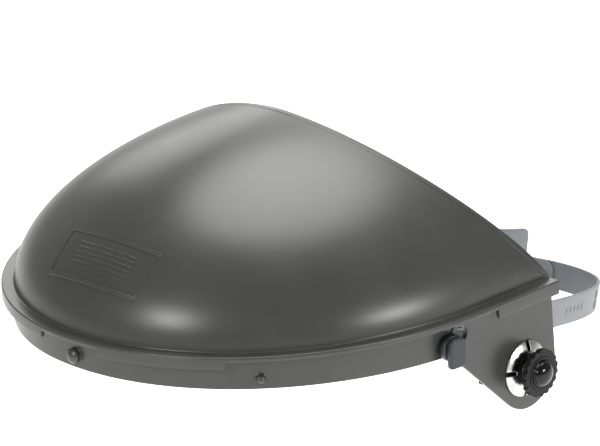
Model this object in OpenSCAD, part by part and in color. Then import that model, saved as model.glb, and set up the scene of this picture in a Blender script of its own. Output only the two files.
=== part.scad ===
// Face shield: a moulded crown that tilts on a head harness.
// Millimetres. The origin is the middle of the tilt axis, between the wearer's temples.
// The wearer faces -Y, the wearer's left is +X and up is +Z.

/* [Crown] */
// Half the width of the crown over its ledge
half_w = 120.5; // [110:0.5:130]
// Length of the ledge's front curve, from its widest line to the very front
front_l = 144; // [130:1:155]
// How far the tilt axis lies behind the ledge's widest line
axis_back = 33.5; // [25:0.5:40]
// Height of the ledge's top face above the tilt axis
rim_z = 38.8; // [36:0.2:42]
// How far the straight sides of the ledge run behind the tilt axis
side_back = 18.5; // [14:0.5:20]
// Height of the dome above the ledge, to the top of its rear edge
dome_h = 72; // [60:1:80]
// Distance from the ledge's outer edge in to the foot of the dome
ledge_w = 6; // [5:0.5:8]
// Thickness of the ledge
ledge_t = 2.4; // [2:0.1:3]
// Wall thickness of the moulding
wall = 2.2; // [1.8:0.1:2.6]
// Distance from the ledge's outer edge in to the outside of the skirt
skirt_in = 5.2; // [4.5:0.1:5.8]
// Depth of the skirt below the ledge's top face, at the front
skirt_h = 16.5; // [15:0.5:18]
// Slope of the skirt's lower edge, falling towards the ears, in degrees
skirt_slope = 0.81; // [0:0.01:1.5]
// Depth of the lips that hang from the ledge, below its top face
lip_h = 5.8; // [5:0.1:6.5]

/* [Ears and pivots] */
// Radius of the ear's rounded lower end
ear_r = 19.2; // [18:0.2:22]
// Radius of the pivot bolt's shoulder, which the ear turns on
shoulder_r = 5; // [4.5:0.1:5.5]
// Radius of the pivot bolt's threaded shank
shank_r = 3; // [2.5:0.1:3.5]
// Radial clearance of the parts that turn on the bolt
running_gap = 0.06; // [0.04:0.01:0.08]
// Radius of the slotted spring disc
disc_r = 13.5; // [12:0.5:14]
// Radius of the tension knob over its scallops
knob_r = 11.3; // [10.5:0.1:12]
// Number of scallops round the knob
scallops = 18; // [12:1:24]
// Radius of the domed cap nut
cap_r = 6; // [5:0.1:6.4]

/* [Window fasteners] */
// Radius of the centre stud
stud_r = 3.5; // [3:0.1:4.5]
// Radius of the two side studs
side_stud_r = 2.2; // [2:0.1:3]
// Radius of the turn latch's barrel
latch_r = 6.4; // [5.5:0.1:7]
// Radius of the latch's stem, in its bore in the skirt
latch_stem_r = 2.5; // [2:0.1:3]

/* [Head harness] */
// Half the width of the headband at the tilt axis
band_a = 86; // [80:1:88]
// Length of the headband's rear part, from the tilt axis to the nape
band_back = 174; // [150:1:180]
// Length of the headband's front part, from the tilt axis to the brow
band_front = 60; // [55:1:66]
// Height of the middle of the headband above the tilt axis
band_z = 10.8; // [9:0.2:13]
// Tilt of the headband's plane, low at the back, in degrees
band_tilt = 14.4; // [10:0.2:18]
// Height of the nape straps
nape_h = 14; // [12:1:16]
// Height of the front band
brow_h = 20; // [16:1:24]
// Thickness of the straps
strap_t = 1.6; // [1.4:0.1:1.8]
// Thickness of the brow pad
pad_t = 7; // [5:0.5:9]
// Height of the brow pad
pad_h = 30; // [26:1:34]
// Rise of the crown strap above its two rivets
crown_rise = 49; // [45:1:56]
// Width of the crown strap
crown_strap_w = 16; // [14:1:22]
// Forward lean of the crown strap from vertical, in degrees
crown_lean = 55; // [40:1:65]

/* [Hidden] */
$fn = 48;
crown_grey = "#5c5e5b";
strap_grey = "#979ea2";

// Crown outline: a superellipse round the front, straight along the sides
crown_n = 2.06;
skirt_x = half_w - skirt_in;
ear_x = skirt_x - wall;
front_y = -(axis_back + front_l);
// Arch of the dome's rear edge: where it starts, where its top is, how full it is
arch_y = 19;
arch_top_y = -38.5;
arch_n = 1.69;
arch_in = 6;
// The dome's profile is the first part of an ellipse's quarter
dome_sweep = 80;
dome_lift = 1.08;
dome_foot = 1.2;
dome_cols = 60;
dome_rows = 16;
side_share = 14;
// The ear's lower edge runs from the skirt to the rounded end
ear_front = [-50, 20.5];
ear_c = [3.1, -1.6];
latch_y = -51.4;
latch_z = 25.8;
// Room under the latch's barrel for the window's edge
latch_gap = 1;
side_stud_x = 79.5;
stud_z = rim_z - 10.4;
side_stud_z = rim_z - 12;
// Stations of the pivot stack along +X, from the inside out
head_x = 101.5;
bracket_x = 104.5;
bracket_t = 2.5;
stop_t = 2;
disc_x = skirt_x + 0.1;
disc_rise = 3.4;
disc_t = 0.8;
knob_x = 123.3;
knob_t = 2.7;
cap_h = 4;
// Headband curve, one half: from the nape to the tilt axis and on to the brow, as two Bezier arcs
side_splay = 15.6;
nape_arc = [[0, band_back], [45, band_back],
    [band_a - 100 * sin(side_splay), 100 * cos(side_splay)], [band_a, 0]];
brow_arc = [[band_a, 0], [band_a + 28 * sin(side_splay), -28 * cos(side_splay)],
    [52, -band_front], [0, -band_front]];
axis_y_in_band = band_z * sin(band_tilt);
axis_z_in_band = -band_z * cos(band_tilt);
// Rivets through the band at each bracket, as places along the band's curve
rivet_back = 0.79;
rivet_front = 1.36;
// Tab-lock buttons, on the right of the nape
nape_button_us = [-0.15, -0.25];
// The lug that carries the crown strap: its foot above the nape strap, its top, its front and rear
// edges, its rivet and its inner face
lug_foot = 7.3;
lug_top = 46.8;
lug_front = 8;
lug_rear = 32.4;
rivet_y = 22;
rivet_z = 34;
rivet_x = 79.5;

// ---- helpers ----

module mirrored(side) {
    if (side == "left") children();
    else mirror([1, 0, 0]) children();
}

// Fraction from 0 to 1 with a soft start and end
function ease(f) = let (c = min(1, max(0, f))) (1 - cos(180 * c)) / 2;

// Signed power, so that superellipse formulas work in all quadrants
function spow(v, e) = sign(v) * pow(abs(v), e);

// A crown outline point, inset from the ledge's edge; t runs from 0 at the left rear to 180
function crown_pt(t, inset) =
    let (s = min(t, 180 - t), w = half_w - inset,
         a = 90 * (s - side_share) / (90 - side_share),
         x = s < side_share ? w : w * pow(cos(a), 2 / crown_n),
         y = s < side_share ? side_back - (side_back + axis_back) * s / side_share
                            : -axis_back - (front_l - inset) * pow(sin(a), 2 / crown_n))
    [t < 90 ? x : -x, y];

function crown_outline(inset, n = 120) = [for (i = [0:n]) crown_pt(180 * i / n, inset)];

module crown_ring(inset_out, inset_in, z, h) {
    translate([0, 0, z]) linear_extrude(h)
        polygon(concat(crown_outline(inset_out),
            [for (i = [120:-1:0]) crown_pt(180 * i / 120, inset_in)]));
}

// A point of the dome; f runs from 0 at the foot to 1 at the rear arch; d is the depth under the skin
function dome_pt(t, f, d) =
    let (b = crown_pt(t, ledge_w + d), c = cos(t), s = pow(sin(t), 2 / arch_n),
         ax = (half_w - arch_in - d) * spow(c, 2 / arch_n),
         ay = arch_y + (arch_top_y - arch_y) * s,
         az = dome_foot + (dome_h - dome_foot - d) * s,
         h = (1 - cos(f * dome_sweep)) / (1 - cos(dome_sweep)),
         v = pow(sin(f * dome_sweep) / sin(dome_sweep), dome_lift))
    [b[0] + (ax - b[0]) * h, b[1] + (ay - b[1]) * h, rim_z + az * v];

function bezier(c, f) = c[0] * pow(1 - f, 3) + 3 * c[1] * f * pow(1 - f, 2)
    + 3 * c[2] * f * f * (1 - f) + c[3] * pow(f, 3);

function bezier_slope(c, f) = 3 * (c[1] - c[0]) * pow(1 - f, 2) + 6 * (c[2] - c[1]) * f * (1 - f)
    + 3 * (c[3] - c[2]) * f * f;

// A point of the headband curve in its own plane, pushed outwards by off.
// u is 0 at the nape, 1 at the left of the tilt axis and 2 at the brow, and negative on the right.
function band_pt(u, off) =
    let (a = abs(u), c = a < 1 ? nape_arc : brow_arc, f = a < 1 ? a : a - 1,
         p = bezier(c, f), q = bezier_slope(c, f), n = [-q[1], q[0]] / norm(q), r = p + off * n)
    [u < 0 ? -r[0] : r[0], r[1]];

module in_band_plane() { translate([0, 0, band_z]) rotate([-band_tilt, 0, 0]) children(); }

// A strap along the headband curve from u0 to u1, from off to off + th outwards
module band_strip(u0, u1, off, th, h, n = 40) {
    us = [for (i = [0:n]) u0 + (u1 - u0) * i / n];
    translate([0, 0, -h / 2]) linear_extrude(h)
        polygon(concat([for (u = us) band_pt(u, off + th)],
            [for (i = [n:-1:0]) band_pt(us[i], off)]));
}

// Places children at a point of the headband curve, with +X pointing outwards
module at_band(u) {
    p = band_pt(u, 0);
    q = band_pt(u, 1) - p;
    translate([p[0], p[1], 0]) rotate([0, 0, atan2(q[1], q[0])]) children();
}

// A cylinder along +X from x0 to x1
module rod(x0, x1, r, facets = 48) {
    translate([x0, 0, 0]) rotate([0, 90, 0]) cylinder(h = x1 - x0, r = r, $fn = facets);
}

// ---- crown ----

module crown_dome() {
    n = dome_cols;
    m = dome_rows;
    layer = (n + 1) * (m + 1);
    pts = [for (d = [0, wall]) for (j = [0:m]) for (i = [0:n]) dome_pt(180 * i / n, j / m, d)];
    function at(l, i, j) = l * layer + j * (n + 1) + i;
    skin = [for (j = [0:m - 1]) for (i = [0:n - 1]) for (k = [0, 1])
        k == 0 ? [at(0, i, j), at(0, i, j + 1), at(0, i + 1, j + 1)]
               : [at(0, i, j), at(0, i + 1, j + 1), at(0, i + 1, j)]];
    lining = [for (j = [0:m - 1]) for (i = [0:n - 1]) for (k = [0, 1])
        k == 0 ? [at(1, i, j), at(1, i + 1, j + 1), at(1, i, j + 1)]
               : [at(1, i, j), at(1, i + 1, j), at(1, i + 1, j + 1)]];
    foot = [for (i = [0:n - 1]) for (k = [0, 1])
        k == 0 ? [at(0, i, 0), at(0, i + 1, 0), at(1, i + 1, 0)]
               : [at(0, i, 0), at(1, i + 1, 0), at(1, i, 0)]];
    arch = [for (i = [0:n - 1]) for (k = [0, 1])
        k == 0 ? [at(0, i, m), at(1, i, m), at(1, i + 1, m)]
               : [at(0, i, m), at(1, i + 1, m), at(0, i + 1, m)]];
    ends = [for (j = [0:m - 1]) for (k = [0:3])
        k == 0 ? [at(0, 0, j), at(1, 0, j), at(1, 0, j + 1)]
        : k == 1 ? [at(0, 0, j), at(1, 0, j + 1), at(0, 0, j + 1)]
        : k == 2 ? [at(0, n, j), at(1, n, j + 1), at(1, n, j)]
        : [at(0, n, j), at(0, n, j + 1), at(1, n, j + 1)]];
    color(crown_grey) polyhedron(pts, concat(skin, lining, foot, arch, ends));
}

// The ear's side view, drawn in Y and Z
module ear_shape() {
    reach = norm(ear_front - ear_c);
    lean = atan2(ear_front[1] - ear_c[1], ear_front[0] - ear_c[0]);
    touch = lean + acos(ear_r / reach);
    translate(ear_c) circle(ear_r, $fn = 64);
    polygon([ear_front, ear_c + ear_r * [cos(touch), sin(touch)], ear_c,
        ear_c + [ear_r, 0], [ear_c[0] + ear_r, rim_z - ledge_t], [ear_front[0], rim_z - ledge_t]]);
}

module ear(side) {
    mirrored(side) translate([ear_x, 0, 0]) rotate([90, 0, 90]) linear_extrude(wall) ear_shape();
}

// Turns children to face outwards at the latch, with +X along the latch's axis
module at_latch(side) {
    x = skirt_x * pow(1 - pow((-latch_y - axis_back) / (front_l - skirt_in), crown_n), 1 / crown_n);
    turn = atan2((latch_y + axis_back) / pow(front_l - skirt_in, 2), x / pow(skirt_x, 2));
    mirrored(side) translate([x, latch_y, latch_z]) rotate([0, 0, turn]) children();
}

module crown_rim() {
    lip_t = 1.8;
    lip_from = 18;
    lip_to = 72.5;
    pass_away = 7.5;
    color(crown_grey) difference() {
        union() {
            crown_ring(0, ledge_w + wall, rim_z - ledge_t, ledge_t);
            difference() {
                crown_ring(skirt_in, skirt_in + wall, rim_z - 22, 22 - ledge_t);
                translate([0, front_y, rim_z - skirt_h]) rotate([-skirt_slope, 0, 0])
                    translate([-half_w, -10, -30]) cube([2 * half_w, front_l + 80, 30]);
            }
            ear("left");
            ear("right");
            // lips that hold the window's upper edge, two at the front and one over each ear
            intersection() {
                crown_ring(0, lip_t, rim_z - lip_h, lip_h - ledge_t);
                for (x = [lip_from, -lip_to]) translate([x, front_y - 1, 0])
                    cube([lip_to - lip_from, 61, rim_z]);
            }
            intersection() {
                crown_ring(0, lip_t, rim_z - lip_h - 1, lip_h + 1 - ledge_t);
                translate([-half_w, -23.5, 0]) cube([2 * half_w, 50, rim_z]);
            }
        }
        for (side = ["left", "right"]) {
            mirrored(side) rod(ear_x - 1, skirt_x + 1, shoulder_r + running_gap);
            at_latch(side) rod(-wall - 2, 2, latch_stem_r + running_gap);
            // pass hole beside the latch
            at_latch(side) translate([0, pass_away, 3.6]) rod(-wall - 3, 3, 4);
            // seats of the side studs
            at_side_stud(side) rod(-wall - 2, 2, 1.2);
        }
        // seat of the centre stud
        translate([0, front_y + skirt_in, stud_z]) rotate([0, 0, -90]) rod(-wall - 1, 1, 2);
    }
}

// Places children on the skirt at a side stud, with +X pointing outwards
module at_side_stud(side) {
    l = front_l - skirt_in;
    y = l * pow(1 - pow(side_stud_x / skirt_x, crown_n), 1 / crown_n);
    turn = atan2(-y / pow(l, 2), side_stud_x / pow(skirt_x, 2));
    mirrored(side) translate([side_stud_x, -axis_back - y, side_stud_z]) rotate([0, 0, turn]) children();
}

// A stud along +X: a shank of radius r, a domed end, and a spigot through the skirt
module stud(r, shank, dome, spigot) {
    ball = (r * r + dome * dome) / (2 * dome);
    rod(-wall, 0.1, spigot);
    rod(0.1, shank, r);
    translate([shank, 0, 0]) rotate([0, 90, 0]) rotate_extrude($fn = 48)
        intersection() {
            translate([0, dome - ball]) circle(ball, $fn = 64);
            square([r, dome]);
        }
}

module window_studs() {
    color(crown_grey) {
        translate([0, front_y + skirt_in, stud_z]) rotate([0, 0, -90]) stud(stud_r, 2.4, 1.6, 2);
        for (side = ["left", "right"]) at_side_stud(side) stud(side_stud_r, 1, 1.6, 1.2);
    }
}

// ---- window latches ----

module latch(side) {
    wing_half = 5;
    color("#50565a") at_latch(side) {
        rod(-wall - 2.4, latch_gap, latch_stem_r);
        rod(latch_gap, 4.2, latch_r);
        // the finger wing, hanging below the barrel when the latch is shut
        translate([4.2, -wing_half, -8.8]) cube([3, 2 * wing_half, 14.4]);
    }
}

module latch_clip(side) {
    color("#3c3e3e") at_latch(side) difference() {
        rod(-wall - 2.2, -wall - 0.9, latch_stem_r + 2.4);
        rod(-wall - 3, 0, latch_stem_r + 0.05);
    }
}

// ---- pivots ----

module pivot_bolt(side) {
    color("#8d9194") mirrored(side) {
        rod(head_x, bracket_x, 7);
        rod(bracket_x, bracket_x + bracket_t, shank_r);
        rod(bracket_x + bracket_t, disc_x + disc_rise + 0.6, shoulder_r);
        rod(disc_x + disc_rise + 0.6, knob_x + knob_t + 2, shank_r);
    }
}

module tilt_stop(side) {
    x = bracket_x + bracket_t;
    color("#232425") mirrored(side) difference() {
        union() {
            rod(x, x + stop_t, 9);
            // finger that limits the tilt
            translate([x, -22.6, -4.5]) cube([stop_t, 17.6, 4]);
        }
        rod(x - 1, x + stop_t + 1, shoulder_r + 0.05);
    }
}

module friction_washer(side) {
    x0 = bracket_x + bracket_t + stop_t;
    color("#3a332d") mirrored(side) difference() {
        rod(x0, ear_x - 0.05, 8.5);
        rod(x0 - 1, ear_x + 1, shoulder_r + 0.05);
    }
}

module spring_disc(side) {
    slot_w = 2.2;
    color("#c9cccd") mirrored(side) difference() {
        translate([disc_x, 0, 0]) rotate([0, 90, 0]) rotate_extrude($fn = 64)
            polygon([[disc_r, 0], [disc_r, disc_t], [shoulder_r + 2, disc_rise],
                [shoulder_r + 0.1, disc_rise], [shoulder_r + 0.1, disc_rise - disc_t],
                [shoulder_r + 1.8, disc_rise - disc_t]]);
        for (a = [87:90:357]) rotate([a, 0, 0])
            translate([disc_x - 1, 8.5, -slot_w / 2]) cube([disc_rise + 2, disc_r, slot_w]);
    }
}

module tension_knob(side) {
    color("#262627") mirrored(side) difference() {
        union() {
            rod(disc_x + disc_rise + 0.7, knob_x, 6.5);
            rod(knob_x, knob_x + knob_t, knob_r);
        }
        rod(disc_x, knob_x + knob_t + 1, shank_r + running_gap);
        for (i = [0:scallops - 1]) rotate([360 * i / scallops, 0, 0])
            translate([0, knob_r + 0.5, 0]) rod(knob_x - 1, knob_x + knob_t + 1, 1.2, 24);
    }
}

module cap_nut(side) {
    x = knob_x + knob_t;
    ball = 7.2;
    color("#0e0e0f") mirrored(side) difference() {
        union() {
            rod(x, x + 0.8, cap_r + 0.5);
            translate([x + 0.8, 0, 0]) rotate([0, 90, 0]) rotate_extrude($fn = 48)
                intersection() {
                    translate([0, cap_h - 0.8 - ball]) circle(ball, $fn = 64);
                    square([cap_r, cap_h]);
                }
        }
        rod(x - 1, x + 2.1, shank_r + running_gap);
    }
}

// ---- head harness ----

// How far the right nape strap lies outside the band curve: it dives under the left one at the nape
function right_off(u) = 0.1 - (strap_t + 0.1) * ease((0.55 + u) / 0.2);

// The bracket's bow in plan: its ends lie on the band and its middle stands out to the pivot
function bow_pt(u, off) =
    let (p = band_pt(u, strap_t + 0.3), f = ease((abs(p[1] - axis_y_in_band) - 15) / 17))
    [bracket_x + (p[0] - bracket_x) * f + off, p[1]];

module bow() {
    n = 48;
    us = [for (i = [0:n]) 0.72 + 0.76 * i / n];
    intersection() {
        translate([0, 0, -30]) linear_extrude(50)
            polygon(concat([for (u = us) bow_pt(u, bracket_t)], [for (i = [n:-1:0]) bow_pt(us[i], 0)]));
        // side view: an arm along the band and a lobe round the pivot
        translate([50, 0, 0]) rotate([90, 0, 90]) linear_extrude(70) union() {
            polygon([[-60, -7], [-60, 3], [-24, 3], [-12, 9], [60, 9], [60, -7],
                [axis_y_in_band + 10, axis_z_in_band - 3],
                [axis_y_in_band - 10, axis_z_in_band - 3], [-25, -7]]);
            translate([axis_y_in_band, axis_z_in_band]) circle(11.5, $fn = 48);
        }
    }
}

// The flat lug that stands on the bracket, with a rounded corner at the top rear
module lug() {
    corner = 3;
    translate([rivet_x, 0, 0]) rotate([90, 0, 90]) linear_extrude(bracket_t) {
        polygon([[lug_front, lug_foot], [lug_front + 1, lug_top], [lug_rear - corner, lug_top],
            [lug_rear, lug_top - corner], [lug_rear + 3.6, lug_foot]]);
        translate([lug_rear - corner, lug_top - corner]) circle(corner, $fn = 32);
    }
}

module side_bracket(side) {
    color(strap_grey) mirrored(side) difference() {
        in_band_plane() {
            bow();
            lug();
        }
        rod(bracket_x - 1, bracket_x + bracket_t + 1, shank_r + 0.05);
        in_band_plane() translate([0, rivet_y, rivet_z]) rod(70, 110, 1.6);
        in_band_plane() for (u = [rivet_back, rivet_front]) at_band(u) rod(-5, 8, 1.6);
    }
}

module headband_front() {
    color(strap_grey) in_band_plane() difference() {
        union() for (s = [-1, 1]) band_strip(s * 1.02, s * 2, -strap_t, strap_t + 0.1, brow_h);
        for (u = [rivet_front, -rivet_front]) at_band(u) rod(-5, 8, 1.6);
    }
}

module brow_pad() {
    color("#2c2e30") in_band_plane()
        union() for (s = [-1, 1]) band_strip(s * 1.42, s * 2, -strap_t - 0.1 - pad_t, pad_t, pad_h, 24);
}

module nape_strap(side) {
    start = side == "left" ? 0.97 : -0.97;
    end = side == "left" ? -0.32 : -0.066;
    n = 60;
    us = [for (i = [0:n]) start + (end - start) * i / n];
    offs = [for (u = us) side == "left" ? 0.1 : right_off(u)];
    color(strap_grey) in_band_plane() difference() {
        translate([0, 0, -nape_h / 2]) linear_extrude(nape_h)
            polygon(concat([for (i = [0:n]) band_pt(us[i], offs[i] + strap_t)],
                [for (i = [n:-1:0]) band_pt(us[i], offs[i])]));
        at_band(side == "left" ? rivet_back : -rivet_back) rod(-5, 8, 1.6);
        for (u = nape_button_us) at_band(u) rod(-5, 8, 2.05);
    }
}

module nape_buttons() {
    color(strap_grey) in_band_plane() for (u = nape_button_us) at_band(u) {
        rod(-strap_t - 1.2, -strap_t - 0.05, 3.2);
        rod(-strap_t - 0.05, strap_t + 0.15, 2);
        rod(strap_t + 0.15, strap_t + 1.1, 2.8);
    }
}

module band_rivets(side) {
    color("#b4b8ba") mirrored(side) in_band_plane() for (u = [rivet_back, rivet_front]) at_band(u) {
        rod(-strap_t - 1, -strap_t, 3.2);
        rod(-strap_t, strap_t + 3.4, 1.55);
        rod(strap_t + 3.4, strap_t + 4.6, 3.2);
    }
}

// ---- crown strap ----

// The strap's plane leans forward from vertical, about the line through its two rivets
module in_crown_plane() {
    in_band_plane() translate([0, rivet_y, rivet_z]) rotate([band_tilt + crown_lean, 0, 0]) children();
}

// Half an arch from the rivet up over the head, standing in X and Z
module crown_strap(side) {
    end = side == "left" ? 104 : 98;
    layer = side == "left" ? 0 : -strap_t - 0.1;
    n = 32;
    function arch(t, d) = [(rivet_x - 0.3 + d) * cos(t), (crown_rise + d + layer * ease(t / 60)) * sin(t)];
    ts = [for (i = [0:n]) end * i / n];
    color(strap_grey) in_crown_plane() mirrored(side) difference() {
        rotate([90, 0, 0]) translate([0, 0, -crown_strap_w / 2]) linear_extrude(crown_strap_w)
            polygon(concat([[rivet_x - 0.3, -8]], [for (t = ts) arch(t, 0)],
                [for (i = [n:-1:0]) arch(ts[i], -strap_t)], [[rivet_x - 0.3 - strap_t, -8]]));
        rod(60, 90, 1.6);
        translate([0, 0, 20]) cylinder(h = 60, r = 2.05);
    }
}

module crown_strap_button() {
    color(strap_grey) in_crown_plane() {
        translate([0, 0, crown_rise]) cylinder(h = 1.2, r = 3);
        translate([0, 0, crown_rise - 2 * strap_t - 0.2]) cylinder(h = 2 * strap_t + 0.3, r = 2);
        translate([0, 0, crown_rise - 2 * strap_t - 1.3]) cylinder(h = 1.1, r = 3.2);
    }
}

module crown_rivet(side) {
    x = rivet_x - 0.3 - strap_t;
    color("#b4b8ba") mirrored(side) in_band_plane() translate([0, rivet_y, rivet_z]) {
        rod(x - 1.1, x, 3.2);
        rod(x, 85.5, 1.55);
        rod(85.5, 86.8, 3.4);
    }
}

// ---- nodes ----

crown_dome();
crown_rim();
window_studs();
latch("left");  // latch_left
latch("right");  // latch_right
latch_clip("left");  // latch_clip_left
latch_clip("right");  // latch_clip_right
pivot_bolt("left");  // pivot_bolt_left
pivot_bolt("right");  // pivot_bolt_right
tilt_stop("left");  // tilt_stop_left
tilt_stop("right");  // tilt_stop_right
friction_washer("left");  // friction_washer_left
friction_washer("right");  // friction_washer_right
spring_disc("left");  // spring_disc_left
spring_disc("right");  // spring_disc_right
tension_knob("left");  // tension_knob_left
tension_knob("right");  // tension_knob_right
cap_nut("left");  // cap_nut_left
cap_nut("right");  // cap_nut_right
side_bracket("left");  // side_bracket_left
side_bracket("right");  // side_bracket_right
headband_front();
brow_pad();
nape_strap("left");  // nape_strap_left
nape_strap("right");  // nape_strap_right
nape_buttons();
band_rivets("left");  // band_rivets_left
band_rivets("right");  // band_rivets_right
crown_strap("left");  // crown_strap_left
crown_strap("right");  // crown_strap_right
crown_strap_button();
crown_rivet("left");  // crown_rivet_left
crown_rivet("right");  // crown_rivet_right
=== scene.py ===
# %% [markdown]
# # A face shield: moulded crown and head harness
# The real object is a dark grey moulded crown that tilts on a light grey plastic head harness.
# Two friction pivots hold it, and studs and turn latches round its skirt take a clear window.
# The engineering model of it already exists, with true sizes and joints. This lesson makes what
# the eye sees: rounded edges, real finishes, a stuffed brow pad, rivets, stitches and marks.
# Every length below is in millimetres until the last step, where one factor makes it metres.

# %% Load the engineering model
import math

import bmesh
import bpy
import numpy as np
from mathutils import Matrix, Vector
from mathutils.geometry import delaunay_2d_cdt


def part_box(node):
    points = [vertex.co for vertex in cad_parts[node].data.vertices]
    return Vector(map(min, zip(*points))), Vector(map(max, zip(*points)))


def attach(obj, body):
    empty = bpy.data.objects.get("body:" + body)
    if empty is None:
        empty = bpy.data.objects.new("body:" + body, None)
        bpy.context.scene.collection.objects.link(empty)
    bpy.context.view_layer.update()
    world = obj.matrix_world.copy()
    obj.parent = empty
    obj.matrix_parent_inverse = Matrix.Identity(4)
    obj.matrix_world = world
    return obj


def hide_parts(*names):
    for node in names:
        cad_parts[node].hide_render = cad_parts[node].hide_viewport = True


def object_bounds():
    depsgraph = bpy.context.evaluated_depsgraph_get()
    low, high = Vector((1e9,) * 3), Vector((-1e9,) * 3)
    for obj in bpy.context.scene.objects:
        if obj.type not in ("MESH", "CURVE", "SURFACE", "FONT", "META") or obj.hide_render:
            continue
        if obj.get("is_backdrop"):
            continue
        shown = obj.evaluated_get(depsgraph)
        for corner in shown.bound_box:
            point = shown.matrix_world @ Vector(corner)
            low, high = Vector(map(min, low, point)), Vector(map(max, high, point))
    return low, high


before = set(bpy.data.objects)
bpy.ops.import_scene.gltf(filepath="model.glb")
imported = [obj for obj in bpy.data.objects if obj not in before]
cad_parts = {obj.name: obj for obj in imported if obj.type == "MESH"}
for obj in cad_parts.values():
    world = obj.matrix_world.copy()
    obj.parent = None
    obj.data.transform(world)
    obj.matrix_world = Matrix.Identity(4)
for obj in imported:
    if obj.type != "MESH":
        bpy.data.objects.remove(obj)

MM = 0.001
scene = bpy.context.scene
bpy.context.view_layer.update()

# %% [markdown]
# A long lens from the front left, a little above the ledge, shows the dome, the skirt and one
# pivot at once. The camera comes first, so that each piece can be looked at as it is made.
# Its place is worked out from an aim point, two angles and a distance, as on a tripod.

# %% Camera
AIM = Vector((-12.84, -13.05, 44.31)) * MM
CAMERA_TURN = math.radians(43.892)
CAMERA_RISE = math.radians(19.702)
CAMERA_ROLL = math.radians(-1.194)
CAMERA_FAR = 1.9294
LENS = 244.725

back = Vector((math.sin(CAMERA_TURN) * math.cos(CAMERA_RISE),
               -math.cos(CAMERA_TURN) * math.cos(CAMERA_RISE), math.sin(CAMERA_RISE)))
level = Vector((math.cos(CAMERA_TURN), math.sin(CAMERA_TURN), 0))
upright = back.cross(level)
across = level * math.cos(CAMERA_ROLL) + upright * math.sin(CAMERA_ROLL)
upward = upright * math.cos(CAMERA_ROLL) - level * math.sin(CAMERA_ROLL)
camera = bpy.data.objects.new("camera", bpy.data.cameras.new("camera"))
camera.data.lens = LENS
camera.data.clip_end = 50
turn = Matrix((across, upward, back)).transposed().to_4x4()
camera.matrix_world = Matrix.Translation(AIM + back * CAMERA_FAR) @ turn
scene.collection.objects.link(camera)
scene.camera = camera
print("camera at, mm:", [round(c / MM) for c in camera.matrix_world.translation])

# %% [markdown]
# The studio is a pale floor far below, a wide soft box overhead, two smaller soft boxes in front
# and a lit wall behind. Satin plastic shows its shape by the soft edges of what it mirrors, so
# the boxes are placed by the direction in which the dome should mirror them.

# %% Floor and soft boxes
FLOOR_Z = -0.30
FLOOR_HALF = 9.0


def soft_box(name, turn_deg, rise_deg, far, size, radiance, shape="RECTANGLE"):
    """An area light that faces the object. Turn is 0 in front and grows to the wearer's left."""
    light = bpy.data.lights.new(name, "AREA")
    light.shape = shape
    light.size, light.size_y = size
    light.energy = radiance * math.pi * size[0] * size[1] * (math.pi / 4 if shape == "ELLIPSE" else 1)
    a, e = math.radians(turn_deg), math.radians(rise_deg)
    away = Vector((math.sin(a) * math.cos(e), -math.cos(a) * math.cos(e), math.sin(e)))
    box = bpy.data.objects.new(name, light)
    box.matrix_world = Matrix.Translation(away * far) @ away.to_track_quat("Z", "Y").to_matrix().to_4x4()
    box.visible_camera = False
    scene.collection.objects.link(box)
    return box


soft_box("overhead_box", -150, 72, 1.3, (1.0, 1.0), 6.9, "ELLIPSE")
soft_box("wall_glow", -140, 26, 2.2, (2.2, 1.1), 2.4)
soft_box("front_box", 8, 28, 1.5, (0.42, 0.36), 19)
soft_box("side_box", 102, 13, 1.5, (0.42, 0.28), 22)


def linear(code):
    """An sRGB hex colour as the linear red, green, blue and alpha that Blender's sockets take."""
    parts = [int(code[i:i + 2], 16) / 255 for i in (1, 3, 5)]
    return tuple(c / 12.92 if c <= 0.04045 else ((c + 0.055) / 1.055) ** 2.4 for c in parts) + (1.0,)


def add(tree, kind, inputs=None, **settings):
    """Adds a node. Settings are its own properties; inputs are sockets, as values or as links."""
    node = tree.nodes.new(kind)
    for name, value in settings.items():
        setattr(node, name, value)
    for socket, value in (inputs or {}).items():
        if isinstance(value, bpy.types.NodeSocket):
            tree.links.new(value, node.inputs[socket])
        else:
            node.inputs[socket].default_value = value
    return node


floor_mesh = bpy.data.meshes.new("floor")
floor_corners = [(x * FLOOR_HALF, y * FLOOR_HALF, FLOOR_Z) for x, y in ((-1, -1), (1, -1), (1, 1), (-1, 1))]
floor_mesh.from_pydata(floor_corners, [], [(0, 1, 2, 3)])
floor = bpy.data.objects.new("floor", floor_mesh)
scene.collection.objects.link(floor)
floor_paint = bpy.data.materials.new("lit_white_floor")
floor_paint.use_nodes = True
paint = floor_paint.node_tree.nodes["Principled BSDF"]
paint.inputs["Base Color"].default_value = linear("#f4f4f4")
paint.inputs["Roughness"].default_value = 0.9
paint.inputs["Emission Color"].default_value = (1, 1, 1, 1)
paint.inputs["Emission Strength"].default_value = 0.75
floor_mesh.materials.append(floor_paint)
floor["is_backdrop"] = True

world = bpy.data.worlds.new("studio_air")
world.use_nodes = True
world.node_tree.nodes["Background"].inputs["Color"].default_value = linear("#ffffff")
world.node_tree.nodes["Background"].inputs["Strength"].default_value = 0.37
scene.world = world
scene.view_settings.view_transform = "Standard"

# %% [markdown]
# ## Finishes
# Each finish starts from what the real surface is and how it was made. Patterns read Object
# coordinates, which are metres here, so a noise of scale 1 / (0.4 mm) has grains 0.4 mm wide.

# %% The moulded plastics


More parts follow.
